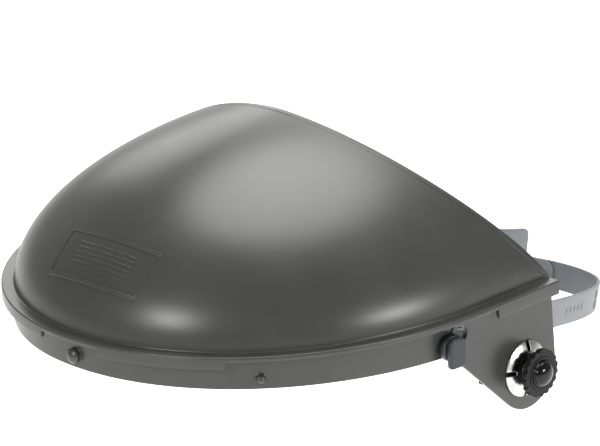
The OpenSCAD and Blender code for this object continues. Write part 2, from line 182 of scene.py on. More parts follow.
def finish(name, tone, tone_2, roughness, grain_mm, grain_depth_mm, patch_mm=18, spread=0.05,
           sheen=0.0, specular=0.5):
    """A dielectric finish: patchy colour, a fine grain in the bump, and roughness that varies."""
    material = bpy.data.materials.new(name)
    material.use_nodes = True
    tree = material.node_tree
    shader = tree.nodes["Principled BSDF"]
    place = add(tree, "ShaderNodeTexCoord")
    patches = add(tree, "ShaderNodeTexNoise", {"Vector": place.outputs["Object"],
                                               "Scale": 1 / (patch_mm * MM), "Detail": 4.0})
    colours = add(tree, "ShaderNodeValToRGB", {"Fac": patches.outputs["Fac"]})
    colours.color_ramp.elements[0].position = 0.35
    colours.color_ramp.elements[0].color = linear(tone)
    colours.color_ramp.elements[1].position = 0.65
    colours.color_ramp.elements[1].color = linear(tone_2)
    tree.links.new(colours.outputs["Color"], shader.inputs["Base Color"])
    rub = add(tree, "ShaderNodeMapRange", {"Value": patches.outputs["Fac"], "From Min": 0.3, "From Max": 0.7,
                                           "To Min": roughness - spread, "To Max": roughness + spread})
    tree.links.new(rub.outputs["Result"], shader.inputs["Roughness"])
    grain = add(tree, "ShaderNodeTexNoise", {"Vector": place.outputs["Object"],
                                             "Scale": 1 / (grain_mm * MM), "Detail": 2.0})
    bump = add(tree, "ShaderNodeBump", {"Height": grain.outputs["Fac"], "Strength": 1.0,
                                        "Distance": grain_depth_mm * MM})
    tree.links.new(bump.outputs["Normal"], shader.inputs["Normal"])
    shader.inputs["Specular IOR Level"].default_value = specular
    shader.inputs["Sheen Weight"].default_value = sheen
    return material


# Glass-filled nylon from a mould with a satin spark finish: it mirrors lamps as broad soft patches.
SATIN_NYLON = finish("satin_moulded_nylon", "#363633", "#3a3a37", 0.32, 0.45, 0.004, patch_mm=30, spread=0.02)
# Polyethylene strap stock: pale, waxy and a little uneven, because it is soft and gets handled.
STRAP_PE = finish("waxy_moulded_polyethylene", "#6c7175", "#74797d", 0.46, 0.9, 0.010, patch_mm=12)
# Acetal for the latches: denser and bluer than the crown, with a dull slippery surface.
LATCH_ACETAL = finish("dull_moulded_acetal", "#1f2226", "#25282c", 0.42, 0.5, 0.008)
# Matte black nylon for the knob, stops and clips: a spark-eroded mould leaves it finely pitted.
KNOB_NYLON = finish("spark_textured_black_nylon", "#0c0c0d", "#111112", 0.55, 0.35, 0.02, patch_mm=5,
                    specular=0.28)
# Black phenolic for the cap nut, polished in the mould, so that it mirrors small lamps sharply.
CAP_PHENOLIC = finish("polished_black_phenolic", "#050506", "#070708", 0.09, 2.5, 0.001, spread=0.02,
                      specular=0.35)
# Pressed fibre for the friction washers: brown, dry and coarse.
FIBRE = finish("pressed_brown_fibre", "#332a22", "#43382c", 0.8, 0.5, 0.03, patch_mm=3)
# Terry knit for the brow pad: dark loops that scatter light, with a soft sheen at the edges.
TERRY = finish("dark_terry_knit", "#1d1f22", "#2b2d31", 0.95, 1.3, 0.35, patch_mm=4, sheen=0.5, specular=0.2)
# Polyester thread for the stitches, a shade paler than the knit so that it shows.
THREAD = finish("grey_polyester_thread", "#5b5e62", "#6b6e73", 0.6, 0.2, 0.02, patch_mm=2, sheen=0.3)

# %% [markdown]
# The metals have no colour of their own beyond what they mirror. The spring disc is stamped, then
# bright nickel plated: the stamping leaves fine rings round the axle, and they stretch its
# reflections into spokes. A bump of fine rings would be too small to see, so the roughness is
# stretched instead, with the shader's anisotropy round the tilt axis.

# %% The metals


def metal(name, tone, tone_2, roughness, grain_mm, grain_depth_mm, anisotropy=0.0):
    """A plated metal, with faint patches in its colour and roughness and a fine bump."""
    material = finish(name, tone, tone_2, roughness, grain_mm, grain_depth_mm, patch_mm=4, spread=0.04)
    shader = material.node_tree.nodes["Principled BSDF"]
    shader.inputs["Metallic"].default_value = 1.0
    shader.inputs["Anisotropic"].default_value = anisotropy
    if anisotropy:
        tangent = add(material.node_tree, "ShaderNodeTangent", direction_type="RADIAL", axis="X")
        material.node_tree.links.new(tangent.outputs["Tangent"], shader.inputs["Tangent"])
    return material


# Bright nickel on stamped spring steel.
NICKEL = metal("bright_nickel_on_stamped_steel", "#b4b5b2", "#c0c0bc", 0.2, 0.8, 0.004, anisotropy=0.7)
# Dull zinc plate on the headed bolts: greyish, a little cloudy.
ZINC = metal("cloudy_zinc_plate", "#9a9da0", "#b0b3b5", 0.38, 0.4, 0.01)
# Drawn aluminium rivets, headed in a press and left bare.
RIVET_ALU = metal("bare_drawn_aluminium", "#b4b6b8", "#c6c8c9", 0.32, 0.3, 0.008)
print("finishes:", [m.name for m in bpy.data.materials])

# %% [markdown]
# ## Three ways to make a piece
# Nearly every piece here is one of three things: a sheet cut to an outline, a shape turned on a
# lathe, or a section swept along a line. One helper makes each, and all of them round the edges,
# because a moulded or pressed edge is never sharp and its bright line is what the eye finds.

# %% From points to a shaded mesh
SMOOTH_UP_TO = math.radians(38)


def make_piece(name, points, faces, material):
    """A mesh object from millimetre points, with its faces turned outwards and smoothly shaded."""
    mesh = bpy.data.meshes.new(name)
    mesh.from_pydata([tuple(float(c) * MM for c in p) for p in points], [], faces)
    work = bmesh.new()
    work.from_mesh(mesh)
    bmesh.ops.remove_doubles(work, verts=work.verts, dist=0.002 * MM)
    bmesh.ops.dissolve_degenerate(work, edges=work.edges, dist=0.002 * MM)
    bmesh.ops.recalc_face_normals(work, faces=work.faces)
    work.to_mesh(mesh)
    work.free()
    mesh.shade_smooth()
    mesh.set_sharp_from_angle(angle=SMOOTH_UP_TO)
    mesh.materials.append(material)
    piece = bpy.data.objects.new(name, mesh)
    scene.collection.objects.link(piece)
    return piece


def join(name, parts):
    """Several meshes as one object, with every material kept."""
    points, faces, slots, materials = [], [], [], []
    for part in parts:
        first = len(points)
        points += [v.co / MM for v in part.data.vertices]
        for face in part.data.polygons:
            faces.append([first + i for i in face.vertices])
            material = part.data.materials[face.material_index]
            if material not in materials:
                materials.append(material)
            slots.append(materials.index(material))
        bpy.data.objects.remove(part)
    mesh = bpy.data.meshes.new(name)
    mesh.from_pydata([tuple(p * MM) for p in points], [], faces)
    for material in materials:
        mesh.materials.append(material)
    mesh.polygons.foreach_set("material_index", slots)
    mesh.shade_smooth()
    mesh.set_sharp_from_angle(angle=SMOOTH_UP_TO)
    piece = bpy.data.objects.new(name, mesh)
    scene.collection.objects.link(piece)
    return piece


def settle_as_is(piece):
    """Turns a piece's live modifiers into plain mesh."""
    seen = piece.evaluated_get(bpy.context.evaluated_depsgraph_get())
    mesh = bpy.data.meshes.new_from_object(seen)
    piece.modifiers.clear()
    piece.data = mesh
    return mesh


def settle(piece):
    """Turns a piece's live modifiers into plain mesh, and shades it."""
    mesh = settle_as_is(piece)
    mesh.shade_smooth()
    mesh.set_sharp_from_angle(angle=SMOOTH_UP_TO)
    return piece


def hand_in(piece, body, slot, *nodes):
    """Weighs a finished piece's normals; says what it moves with and hides its nodes; slot is not used."""
    weigh = piece.modifiers.new("weigh", "WEIGHTED_NORMAL")
    weigh.keep_sharp = True
    settle_as_is(piece)
    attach(piece, body)
    if nodes:
        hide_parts(*nodes)
    print(f"{piece.name}: {len(piece.data.polygons)} faces on {body}")
    return piece


# %% A sheet cut to an outline, with round edges
def arc(centre, radius, start, end, steps):
    """Points along an arc, in degrees, anticlockwise when end is larger than start."""
    return [(centre[0] + radius * math.cos(math.radians(start + (end - start) * i / steps)),
             centre[1] + radius * math.sin(math.radians(start + (end - start) * i / steps)))
            for i in range(steps + 1)]


def hole(centre, radius, steps=32):
    """A round hole's edge, clockwise, so that the material lies on its left as on the outer edge."""
    return arc(centre, radius, 360, 0, steps)[:-1]


def rounded(corners, radii, steps=6):
    """A polygon with each corner rounded to its own radius, anticlockwise."""
    points = []
    for i, corner in enumerate(corners):
        here, before, after = (np.array(p, float) for p in
                               (corner, corners[i - 1], corners[(i + 1) % len(corners)]))
        to_before = (before - here) / np.linalg.norm(before - here)
        to_after = (after - here) / np.linalg.norm(after - here)
        half = math.acos(np.clip(to_before @ to_after, -1, 1)) / 2
        reach = radii[i] / math.tan(half)
        inward = (to_before + to_after) / np.linalg.norm(to_before + to_after)
        middle = here + inward * radii[i] / math.sin(half)
        a, b = here + to_before * reach - middle, here + to_after * reach - middle
        turn = math.pi - 2 * half
        for k in range(steps + 1):
            spin = math.sin((1 - k / steps) * turn) * a + math.sin(k / steps * turn) * b
            points.append(tuple(middle + spin / math.sin(turn)))
    return points


def shrink(loop, by):
    """A loop moved into the material on its left by a distance."""
    p = np.array(loop, float)
    ahead = np.roll(p, -1, 0) - p
    ahead /= np.linalg.norm(ahead, axis=1)[:, None] + 1e-12
    behind = np.roll(ahead, 1, 0)
    left = np.stack([-(ahead + behind)[:, 1], (ahead + behind)[:, 0]], 1)
    length = np.linalg.norm(left, axis=1)[:, None] + 1e-12
    left /= length
    widen = 1 / np.clip((left * np.stack([-ahead[:, 1], ahead[:, 0]], 1)).sum(1), 0.5, 1)
    return p + left * (by * widen)[:, None]


def inside(points, loop):
    """Which of many points lie inside one loop, by counting the edges that a ray crosses."""
    x, y = points[:, 0][:, None], points[:, 1][:, None]
    a, b = np.array(loop), np.roll(np.array(loop), -1, 0)
    crosses = (a[:, 1] > y) != (b[:, 1] > y)
    rise = np.where(np.abs(b[:, 1] - a[:, 1]) < 1e-12, 1e-12, b[:, 1] - a[:, 1])
    return (crosses & (x < a[:, 0] + (y - a[:, 1]) / rise * (b[:, 0] - a[:, 0]))).sum(1) % 2 == 1


def sheet_piece(name, loops, thick, edge, spacing, bend, material):
    """A sheet with an outer loop and holes, edges rounded to a radius, bent into place by a function
    of arrays: bend(a, b, h), where a and b lie in the sheet and h goes through it."""
    turns = [math.radians(a) for a in (0, 30, 60, 90)]
    rings = [(edge * (1 - math.sin(a)), thick - edge * (1 - math.cos(a))) for a in turns]
    rings += [(off, thick - h) for off, h in reversed(rings)]
    points, faces = [], []
    for loop in loops:
        n, first = len(loop), len(points)
        for off, h in rings:
            points += [(a, b, h) for a, b in shrink(loop, off)]
        for k in range(len(rings) - 1):
            for i in range(n):
                j = (i + 1) % n
                faces.append((first + k * n + i, first + (k + 1) * n + i,
                              first + (k + 1) * n + j, first + k * n + j))
    borders = [shrink(loop, edge) for loop in loops]
    low, high = borders[0].min(0), borders[0].max(0)
    ticks = [np.arange(low[k] + spacing / 2, high[k], spacing) for k in (0, 1)]
    grid = np.stack(np.meshgrid(*ticks, indexing="ij"), -1).reshape(-1, 2)
    keep = inside(grid, borders[0])
    for border in borders[1:]:
        keep &= ~inside(grid, border)
    edges_at = np.vstack(borders)
    grid = grid[keep]
    if len(grid):
        clear = np.array([((edges_at - g) ** 2).sum(1).min() for g in grid]) > (0.45 * spacing) ** 2
        grid = grid[clear]
    flat, wires = [], []
    for border in borders:
        first = len(flat)
        flat += [tuple(p) for p in border]
        wires += [(first + i, first + (i + 1) % len(border)) for i in range(len(border))]
    flat += [tuple(p) for p in grid]
    out, _, triangles, _, _, _ = delaunay_2d_cdt([Vector(p) for p in flat], wires, [], 0, 1e-7)
    out = np.array([tuple(p) for p in out])
    middles = np.array([out[list(t)].mean(0) for t in triangles])
    solid = inside(middles, borders[0])
    for border in borders[1:]:
        solid &= ~inside(middles, border)
    for h, flip in ((thick, False), (0, True)):
        first = len(points)
        points += [(a, b, h) for a, b in out]
        faces += [tuple(first + i for i in (reversed(t) if flip else t))
                  for t, s in zip(triangles, solid) if s]
    p = np.array(points, float)
    return make_piece(name, bend(p[:, 0], p[:, 1], p[:, 2]), faces, material)


# %% A shape turned on a lathe, and a way to put it in place
def facing(at, out, up=(0, 0, 1)):
    """A bend for flat work: h runs along out from the point at, b as near to up as it can, a across."""
    at, out, up = (np.array(v, float) for v in (at, out, up))
    out /= np.linalg.norm(out)
    across = np.cross(up, out)
    across /= np.linalg.norm(across)
    rise = np.cross(out, across)
    return lambda a, b, h: at + np.outer(a, across) + np.outer(b, rise) + np.outer(h, out)


def turned(name, profile, bend, material, steps=64):
    """A solid of revolution. The profile goes from the axis at one end to the axis at the other,
    as (height along the axis, radius), and bend puts it in place as it does for a sheet."""
    points, faces = [], []
    for h, r in profile:
        points += [(r * math.cos(2 * math.pi * i / steps), r * math.sin(2 * math.pi * i / steps), h)
                   for i in range(steps)]
    for k in range(len(profile) - 1):
        for i in range(steps):
            j = (i + 1) % steps
            faces.append((k * steps + i, k * steps + j, (k + 1) * steps + j, (k + 1) * steps + i))
    p = np.array(points)
    return make_piece(name, bend(p[:, 0], p[:, 1], p[:, 2]), faces, material)


def corner(h, r, size, sense_h, sense_r, steps=4):
    """A rounded corner of a lathe profile at (h, r). The senses say where the solid lies from it."""
    out = []
    for i in range(steps + 1):
        a = math.pi / 2 * i / steps
        out.append((h + sense_h * size * (1 - math.cos(a)), r + sense_r * size * (1 - math.sin(a))))
    return out


def swept(name, sections, material, capped=True):
    """Skins a row of closed sections that all have the same number of points."""
    n = len(sections[0])
    points = [p for section in sections for p in section]
    faces = [(k * n + i, k * n + (i + 1) % n, (k + 1) * n + (i + 1) % n, (k + 1) * n + i)
             for k in range(len(sections) - 1) for i in range(n)]
    if capped:
        faces += [tuple(reversed(range(n))), tuple((len(sections) - 1) * n + i for i in range(n))]
    return make_piece(name, points, faces, material)


print("helpers ready")

# %% [markdown]
# ## The crown
# One injection moulding makes the dome, the ledge round it, and the skirt and ears below. Its plan
# is a superellipse round the front, and the dome climbs from the ledge to a leaning arch at the
# rear. A surface that follows a rule is best made from the rule itself, so each section of the
# dome and ledge is worked out and the sections are skinned. The sizes repeat the engineering
# model's, and its boxes supply those that can be read from it.

# %% The crown's plan and dome
WALL = 2.2
LEDGE_THICK = 2.4
LEDGE_WIDE = 6.0
RIM_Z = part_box("crown_rim")[1].z / MM
HALF_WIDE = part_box("crown_rim")[1].x / MM
AXIS_BACK = 33.5
FRONT_LONG = -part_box("crown_rim")[0].y / MM - AXIS_BACK
SIDE_BACK = 18.5
DOME_HIGH = 72.0
PLAN_POWER = 2.06
ARCH_Y, ARCH_TOP_Y, ARCH_POWER, ARCH_IN = 19.0, -38.5, 1.69, 6.0
DOME_SWEEP, DOME_LIFT, DOME_FOOT = math.radians(80), 1.08, 1.2
SIDE_SHARE = 14.0
print("ledge half width, rim height, front length:", HALF_WIDE, RIM_Z, FRONT_LONG)


def crown_point(t, inset):
    """A point of the plan: t runs from 0 at the left rear round the front to 180 at the right rear."""
    s = min(t, 180 - t)
    wide = HALF_WIDE - inset
    if s < SIDE_SHARE:
        x, y = wide, SIDE_BACK - (SIDE_BACK + AXIS_BACK) * s / SIDE_SHARE
    else:
        a = math.pi / 2 * (s - SIDE_SHARE) / (90 - SIDE_SHARE)
        x = wide * max(math.cos(a), 0) ** (2 / PLAN_POWER)
        y = -AXIS_BACK - (FRONT_LONG - inset) * math.sin(a) ** (2 / PLAN_POWER)
    return (x if t < 90 else -x, y)


def dome_point(t, f, deep):
    """A point of the dome: f runs from 0 at its foot to 1 at the rear arch, deep goes into the wall."""
    foot = crown_point(t, LEDGE_WIDE + deep)
    c, s = math.cos(math.radians(t)), max(math.sin(math.radians(t)), 0) ** (2 / ARCH_POWER)
    top = ((HALF_WIDE - ARCH_IN - deep) * math.copysign(abs(c) ** (2 / ARCH_POWER), c),
           ARCH_Y + (ARCH_TOP_Y - ARCH_Y) * s)
    high = DOME_FOOT + (DOME_HIGH - DOME_FOOT - deep) * s
    out = (1 - math.cos(f * DOME_SWEEP)) / (1 - math.cos(DOME_SWEEP))
    up = (math.sin(f * DOME_SWEEP) / math.sin(DOME_SWEEP)) ** DOME_LIFT if f > 0 else 0.0
    return (foot[0] + (top[0] - foot[0]) * out, foot[1] + (top[1] - foot[1]) * out, RIM_Z + high * up)


# %% Sections of the dome and ledge
BORDER_WIDE = 4.2
BORDER_GROOVE = 0.35
LIP_THICK = 1.8
LIP_DEEP = {"front": 5.8, "rear": 6.8}
LIP_FROM, LIP_TO = 18.0, 72.5
REAR_LIP_Y = -23.5
LIP_END = 0.9
FOOT_FILLET = 0.9


def lip_depth(t):
    """How far the ledge's outer face reaches down: further where a lip hangs from it."""
    x, y = crown_point(t, 0)
    front = min(abs(x) - LIP_FROM, LIP_TO - abs(x)) if y < -AXIS_BACK else -9
    rear = y - REAR_LIP_Y
    best = LEDGE_THICK
    for reach, deep in ((front, LIP_DEEP["front"]), (rear, LIP_DEEP["rear"])):
        share = min(max(reach / LIP_END, 0), 1)
        best = max(best, LEDGE_THICK + (deep - LEDGE_THICK) * math.sqrt(1 - (1 - share) ** 2))
    return best


def dome_section(t):
    """One closed section: up the skin, over the arch's border, down the lining, round the ledge."""
    steps = [i / 160 for i in range(161)]
    skin = np.array([dome_point(t, f, 0) for f in steps])
    along = np.concatenate([[0], np.cumsum(np.linalg.norm(np.diff(skin, axis=0), axis=1))])
    length = along[-1]
    wide = min(BORDER_WIDE, 0.35 * length)
    groove = BORDER_GROOVE * wide / BORDER_WIDE

    def at(s, deep):
        return dome_point(t, float(np.interp(s, along, steps)), deep)

    section = []
    # the fillet between the ledge and the dome, then the skin up to the border
    fillet = min(FOOT_FILLET, 0.3 * length)
    foot_out = np.array(crown_point(t, LEDGE_WIDE - fillet) + (RIM_Z,))
    foot_in = np.array(crown_point(t, LEDGE_WIDE) + (RIM_Z,))
    risen = np.array(at(fillet, 0))
    for k in (0, 0.25, 0.5, 0.75, 1):
        section.append(tuple(foot_out * (1 - k) ** 2 + foot_in * 2 * k * (1 - k) + risen * k * k))
    for k in range(1, 44):
        section.append(at(fillet + (length - wide - fillet) * k / 43, 0))
    section += [at(length - wide * 0.97, groove), at(length - wide * 0.92, groove * 0.4),
                at(length - wide * 0.84, 0), at(length - wide * 0.5, 0.03), at(length - wide * 0.2, 0.1),
                at(length - wide * 0.06, 0.25), at(length, 0.6), at(length, WALL * 0.5),
                at(length, WALL * 0.8), at(length - wide * 0.06, WALL * 0.97)]
    for k in range(24):
        section.append(dome_point(t, 0.985 * (1 - k / 23), WALL))
    # down inside the ledge, along its underside, and round the lip or the plain edge
    deep = lip_depth(t)
    inner = LEDGE_WIDE + WALL
    around = [(inner, LEDGE_THICK - 0.4), (inner - 0.4, LEDGE_THICK), (inner - 2.6, LEDGE_THICK),
              (LIP_THICK + 0.5, LEDGE_THICK),
              (LIP_THICK + 0.1, LEDGE_THICK + 0.1 * (deep > LEDGE_THICK + 0.5)),
              (LIP_THICK, max(LEDGE_THICK, deep - 0.6)), (LIP_THICK - 0.15, max(LEDGE_THICK, deep - 0.2)),
              (LIP_THICK - 0.5, deep), (LIP_THICK / 2, deep), (0.6, deep), (0.18, deep - 0.18),
              (0, deep - 0.6), (0, (deep + 0.6) / 2), (0, 0.75), (0.06, 0.45), (0.22, 0.2), (0.48, 0.05),
              (0.8, 0), (2.4, 0), (3.8, 0)]
    section += [crown_point(t, inset) + (RIM_Z - down,) for inset, down in around]
    return section


def t_at(x_or_y, axis):
    """The plan parameter on the left where the outline reaches a given x or y, by halving."""
    low, high = 0.0, 90.0
    for _ in range(50):
        middle = (low + high) / 2
        if crown_point(middle, 0)[axis] > x_or_y:
            low = middle
        else:
            high = middle
    return (low + high) / 2


stations = set(np.round(np.linspace(0, 180, 401), 4))
for value, axis in ((LIP_FROM, 0), (LIP_TO, 0), (REAR_LIP_Y, 1)):
    for away in np.linspace(-0.2, LIP_END + 0.2, 9):
        near = t_at(value - away if value == LIP_TO else value + away, axis)
        stations |= {near, 180 - near}
stations = sorted(stations)
shell = swept("moulded_dome", [dome_section(t) for t in stations], SATIN_NYLON)
print("dome sections:", len(stations), "faces:", len(shell.data.polygons))

# %% [markdown]
# The skirt and the two ears are one thin wall, so they are cut as one sheet: laid out flat along
# the skirt's plan, with bores for the pivots, the latches and the pass holes, and then bent round.
# Working flat keeps every bore round and every edge radius true.

# %% The skirt and ears
SKIRT_IN = 5.2
SKIRT_HIGH = 16.5
SKIRT_SLOPE = math.tan(math.radians(0.81))
EAR_CENTRE, EAR_R = (3.1, -1.6), 19.2
EAR_FRONT = (-50.0, 20.5)
EAR_TOP_REAR = 18.9
EDGE = 0.45
LATCH_Y, LATCH_Z, STEM_R = -51.4, 25.8, 2.5
PASS_HOLE_AWAY, PASS_HOLE_UP, PASS_HOLE_R = 7.5, 3.6, 4.0
SHOULDER_R = 5.0
RUNNING_GAP = 0.06

plan = np.array([crown_point(t, SKIRT_IN) for t in np.linspace(90, 0, 1801)])
plan = np.vstack([plan, [plan[-1][0], SIDE_BACK + 10]])
plan_s = np.concatenate([[0], np.cumsum(np.linalg.norm(np.diff(plan, axis=0), axis=1))])
slope = np.gradient(plan, plan_s, axis=0)
slope /= np.linalg.norm(slope, axis=1)[:, None]
plan_out = np.stack([slope[:, 1], -slope[:, 0]], 1)


def skirt_s(y):
    """Distance round the skirt from its front middle to a given y on the left."""
    return float(np.interp(y, plan[:, 1], plan_s))


def round_skirt(lift):
    """A bend that lays a sheet on the skirt's plan: a round it, b up, h outwards from lift."""
    def bend(a, b, h):
        s, side = np.abs(a), np.where(a < 0, -1.0, 1.0)
        x = np.interp(s, plan_s, plan[:, 0]) + np.interp(s, plan_s, plan_out[:, 0]) * (h + lift)
        y = np.interp(s, plan_s, plan[:, 1]) + np.interp(s, plan_s, plan_out[:, 1]) * (h + lift)
        return np.stack([side * x, y, b], 1)
    return bend


front_y = -AXIS_BACK - FRONT_LONG
lean = math.atan2(EAR_FRONT[1] - EAR_CENTRE[1], EAR_FRONT[0] - EAR_CENTRE[0])
touch = lean + math.acos(EAR_R / math.dist(EAR_FRONT, EAR_CENTRE))
touch_at = (EAR_CENTRE[0] + EAR_R * math.cos(touch), EAR_CENTRE[1] + EAR_R * math.sin(touch))
lower = [(y, RIM_Z - SKIRT_HIGH - (y - front_y) * SKIRT_SLOPE)
         for y in [plan[np.searchsorted(plan_s, s)][1] for s in np.arange(0, skirt_s(EAR_FRONT[0]) - 1, 2.0)]]
lower += [tuple(EAR_FRONT[k] + (touch_at[k] - EAR_FRONT[k]) * i / 20 for k in (0, 1)) for i in range(20)]
lower += arc(EAR_CENTRE, EAR_R, math.degrees(touch), 360, 40)
lower += [(EAR_CENTRE[0] + EAR_R + (EAR_TOP_REAR - EAR_CENTRE[0] - EAR_R) * k / 14,
           EAR_CENTRE[1] + (RIM_Z - 1 - EAR_CENTRE[1]) * k / 14) for k in range(1, 15)]
left_edge = [(skirt_s(y), z) for y, z in lower]
left_edge[0] = (0.0, lower[0][1])
end_s = left_edge[-1][0]
top_edge = [(s, RIM_Z - 1) for s in np.arange(end_s - 2, -end_s + 1.9, -2.0)]
outline = [(-s, z) for s, z in reversed(left_edge[1:])] + left_edge + top_edge
latch_s, pivot_s = skirt_s(LATCH_Y), skirt_s(0)
bores = []
for side in (1, -1):
    bores += [hole((side * pivot_s, 0), SHOULDER_R + RUNNING_GAP, 48),
              hole((side * latch_s, LATCH_Z), STEM_R + RUNNING_GAP),
              hole((side * (latch_s + PASS_HOLE_AWAY), LATCH_Z + PASS_HOLE_UP), PASS_HOLE_R, 40)]
skirt = sheet_piece("moulded_skirt", [outline] + bores, WALL, EDGE, 2.4, round_skirt(-WALL), SATIN_NYLON)
bosses = []
BOSS_R, BOSS_HIGH, BOSS_EDGE = 6.4, 0.75, 0.35
for side in (1, -1):
    at = (side * (latch_s + PASS_HOLE_AWAY), LATCH_Z + PASS_HOLE_UP)
    ring = [arc(at, BOSS_R, 0, 360, 56)[:-1], hole(at, PASS_HOLE_R + 0.02, 40)]
    bosses.append(sheet_piece(f"pass_hole_boss_{side}", ring, BOSS_HIGH, BOSS_EDGE, 1.2, round_skirt(-0.1),
                              SATIN_NYLON))
print("skirt length round, mm:", round(2 * end_s), "faces:", len(skirt.data.polygons))

# %% [markdown]
# The front of the dome carries a moulded name panel. Here it holds plain ribs and no lettering.
# Its bars are drawn in a flat frame that leans like the dome, and each point is then dropped onto
# the dome along the frame's normal, so that the bars follow the curve at a constant height.

# %% The panel on the front of the dome
PANEL_HALF = 27.5
PANEL_LOW = Vector((0, -160.7, 56.1))
PANEL_HIGH = Vector((0, -142.6, 74.1))
PANEL_TALL = (PANEL_HIGH - PANEL_LOW).length
from mathutils.bvhtree import BVHTree

shell_tree = BVHTree.FromObject(shell, bpy.context.evaluated_depsgraph_get())
panel_up = (PANEL_HIGH - PANEL_LOW).normalized()
panel_out = Vector((1, 0, 0)).cross(panel_up)


def on_dome(a, b, h):
    """Drops flat panel points onto the dome: a across, b up the panel, h above the skin."""
    out = []
    for x, y, z in zip(a, b, h):
        start = PANEL_LOW + Vector((x, 0, 0)) + panel_up * float(y) + panel_out * 30
        hit, normal, _, _ = shell_tree.ray_cast(start * MM, -panel_out)
        out.append(tuple((hit + normal * float(z) * MM) / MM))
    return np.array(out)


def bar(name, a0, a1, b0, b1, high, step=1.2):
    """A low raised bar on the panel, with edges that slope into the skin."""
    def ticks(low, up):
        inner = np.linspace(low + 0.35, up - 0.35, max(2, int((up - low) / step)))
        return [low, low + 0.14] + list(inner) + [up - 0.14, up]
    aa, bb = ticks(a0, a1), ticks(b0, b1)
    rise = {0: -0.25, 1: high * 0.65}
    points, faces = [], []
    for i, a in enumerate(aa):
        for j, b in enumerate(bb):
            edge = min(i, len(aa) - 1 - i, j, len(bb) - 1 - j)
            points.append((a, b, rise.get(edge, high)))
    for i in range(len(aa) - 1):
        for j in range(len(bb) - 1):
            k = i * len(bb) + j
            faces.append((k, k + len(bb), k + len(bb) + 1, k + 1))
    rim = ([i * len(bb) for i in range(len(aa))] + [(len(aa) - 1) * len(bb) + j for j in range(1, len(bb))]
           + [i * len(bb) + len(bb) - 1 for i in range(len(aa) - 2, -1, -1)]
           + list(range(len(bb) - 2, 0, -1)))
    faces.append(tuple(rim))
    p = np.array(points)
    return make_piece(name, on_dome(p[:, 0], p[:, 1], p[:, 2]), faces, SATIN_NYLON)


BAR_WIDE = 2.2
bars = [bar("panel_low_bar", -PANEL_HALF, PANEL_HALF, 0, BAR_WIDE, 0.55),
        bar("panel_high_bar", -PANEL_HALF, PANEL_HALF, PANEL_TALL - BAR_WIDE, PANEL_TALL, 0.55),
        bar("panel_side_bar_1", -PANEL_HALF, -PANEL_HALF + 0.9, BAR_WIDE, PANEL_TALL - BAR_WIDE, 0.35),
        bar("panel_side_bar_2", PANEL_HALF - 0.9, PANEL_HALF, BAR_WIDE, PANEL_TALL - BAR_WIDE, 0.35)]
RIBS, RIB_HALF_LONG, RIB_HALF_WIDE, RIB_HIGH = 6, PANEL_HALF * 0.66, 0.35, 0.28
for i in range(RIBS):
    level = PANEL_TALL * (0.26 + 0.48 * i / (RIBS - 1))
    bars.append(bar(f"panel_rib_{i}", -RIB_HALF_LONG, RIB_HALF_LONG, level - RIB_HALF_WIDE,
                    level + RIB_HALF_WIDE, RIB_HIGH))
panel = join("name_panel_with_ribs", bars)
print("panel, mm:", 2 * PANEL_HALF, "x", round(PANEL_TALL, 1))

crown_skin = join("crown_moulding", [shell, skirt] + bosses + [panel])
hand_in(crown_skin, "crown", "crown", "crown_dome", "crown_rim")

# %% [markdown]
# ## Studs and turn latches
# Three domed studs and two turn latches hold the window. They are small, so their silhouettes
# matter more than their surfaces: a turned profile with a filleted foot, and a wing cut as a sheet.

# %% Window studs
STUD_R, SIDE_STUD_R, SIDE_STUD_X = 3.5, 2.2, 79.5
SIDES = {"left": 1, "right": -1}


def mirrored(bend, side):
    """The same bend on the left or, with x turned over, on the right."""
    flip = np.array([SIDES[side], 1, 1])
    return lambda a, b, h: bend(a, b, h) * flip


def domed(radius, shank, dome, foot):
    """The profile of a domed stud with a filleted foot of its own radius."""
    ball = (radius ** 2 + dome ** 2) / (2 * dome)
    cap = math.asin(radius / ball)
    profile = [(-0.4, 0), (-0.4, radius + foot)]
    profile += [(foot * (1 - math.cos(a)), radius + foot * (1 - math.sin(a)))
                for a in np.linspace(0.3, math.pi / 2, 5)]
    profile += [(shank * 0.6, radius)]
    profile += [(shank + dome - ball + ball * math.cos(cap * k / 10), ball * math.sin(cap * k / 10))
                for k in range(10, -1, -1)]
    return profile


def skirt_frame(x):
    """The skirt's surface point and outward direction at a given x on the left front."""
    long = FRONT_LONG - SKIRT_IN
    wide = HALF_WIDE - SKIRT_IN
    y = long * (1 - (x / wide) ** PLAN_POWER) ** (1 / PLAN_POWER)
    return (x, -AXIS_BACK - y), (x / wide ** 2, -y / long ** 2, 0)


centre_at = facing((0, front_y + SKIRT_IN, RIM_Z - 10.4), (0, -1, 0))
studs = [turned("centre_stud", domed(STUD_R, 2.2, 1.8, 0.35), centre_at, SATIN_NYLON)]
at, out = skirt_frame(SIDE_STUD_X)
for side in SIDES:
    place = mirrored(facing((at[0], at[1], RIM_Z - 12), out), side)
    studs.append(turned(f"side_stud_{side}", domed(SIDE_STUD_R, 0.9, 1.7, 0.9), place, SATIN_NYLON, 40))
hand_in(join("domed_window_studs", studs), "crown", "crown", "window_studs")

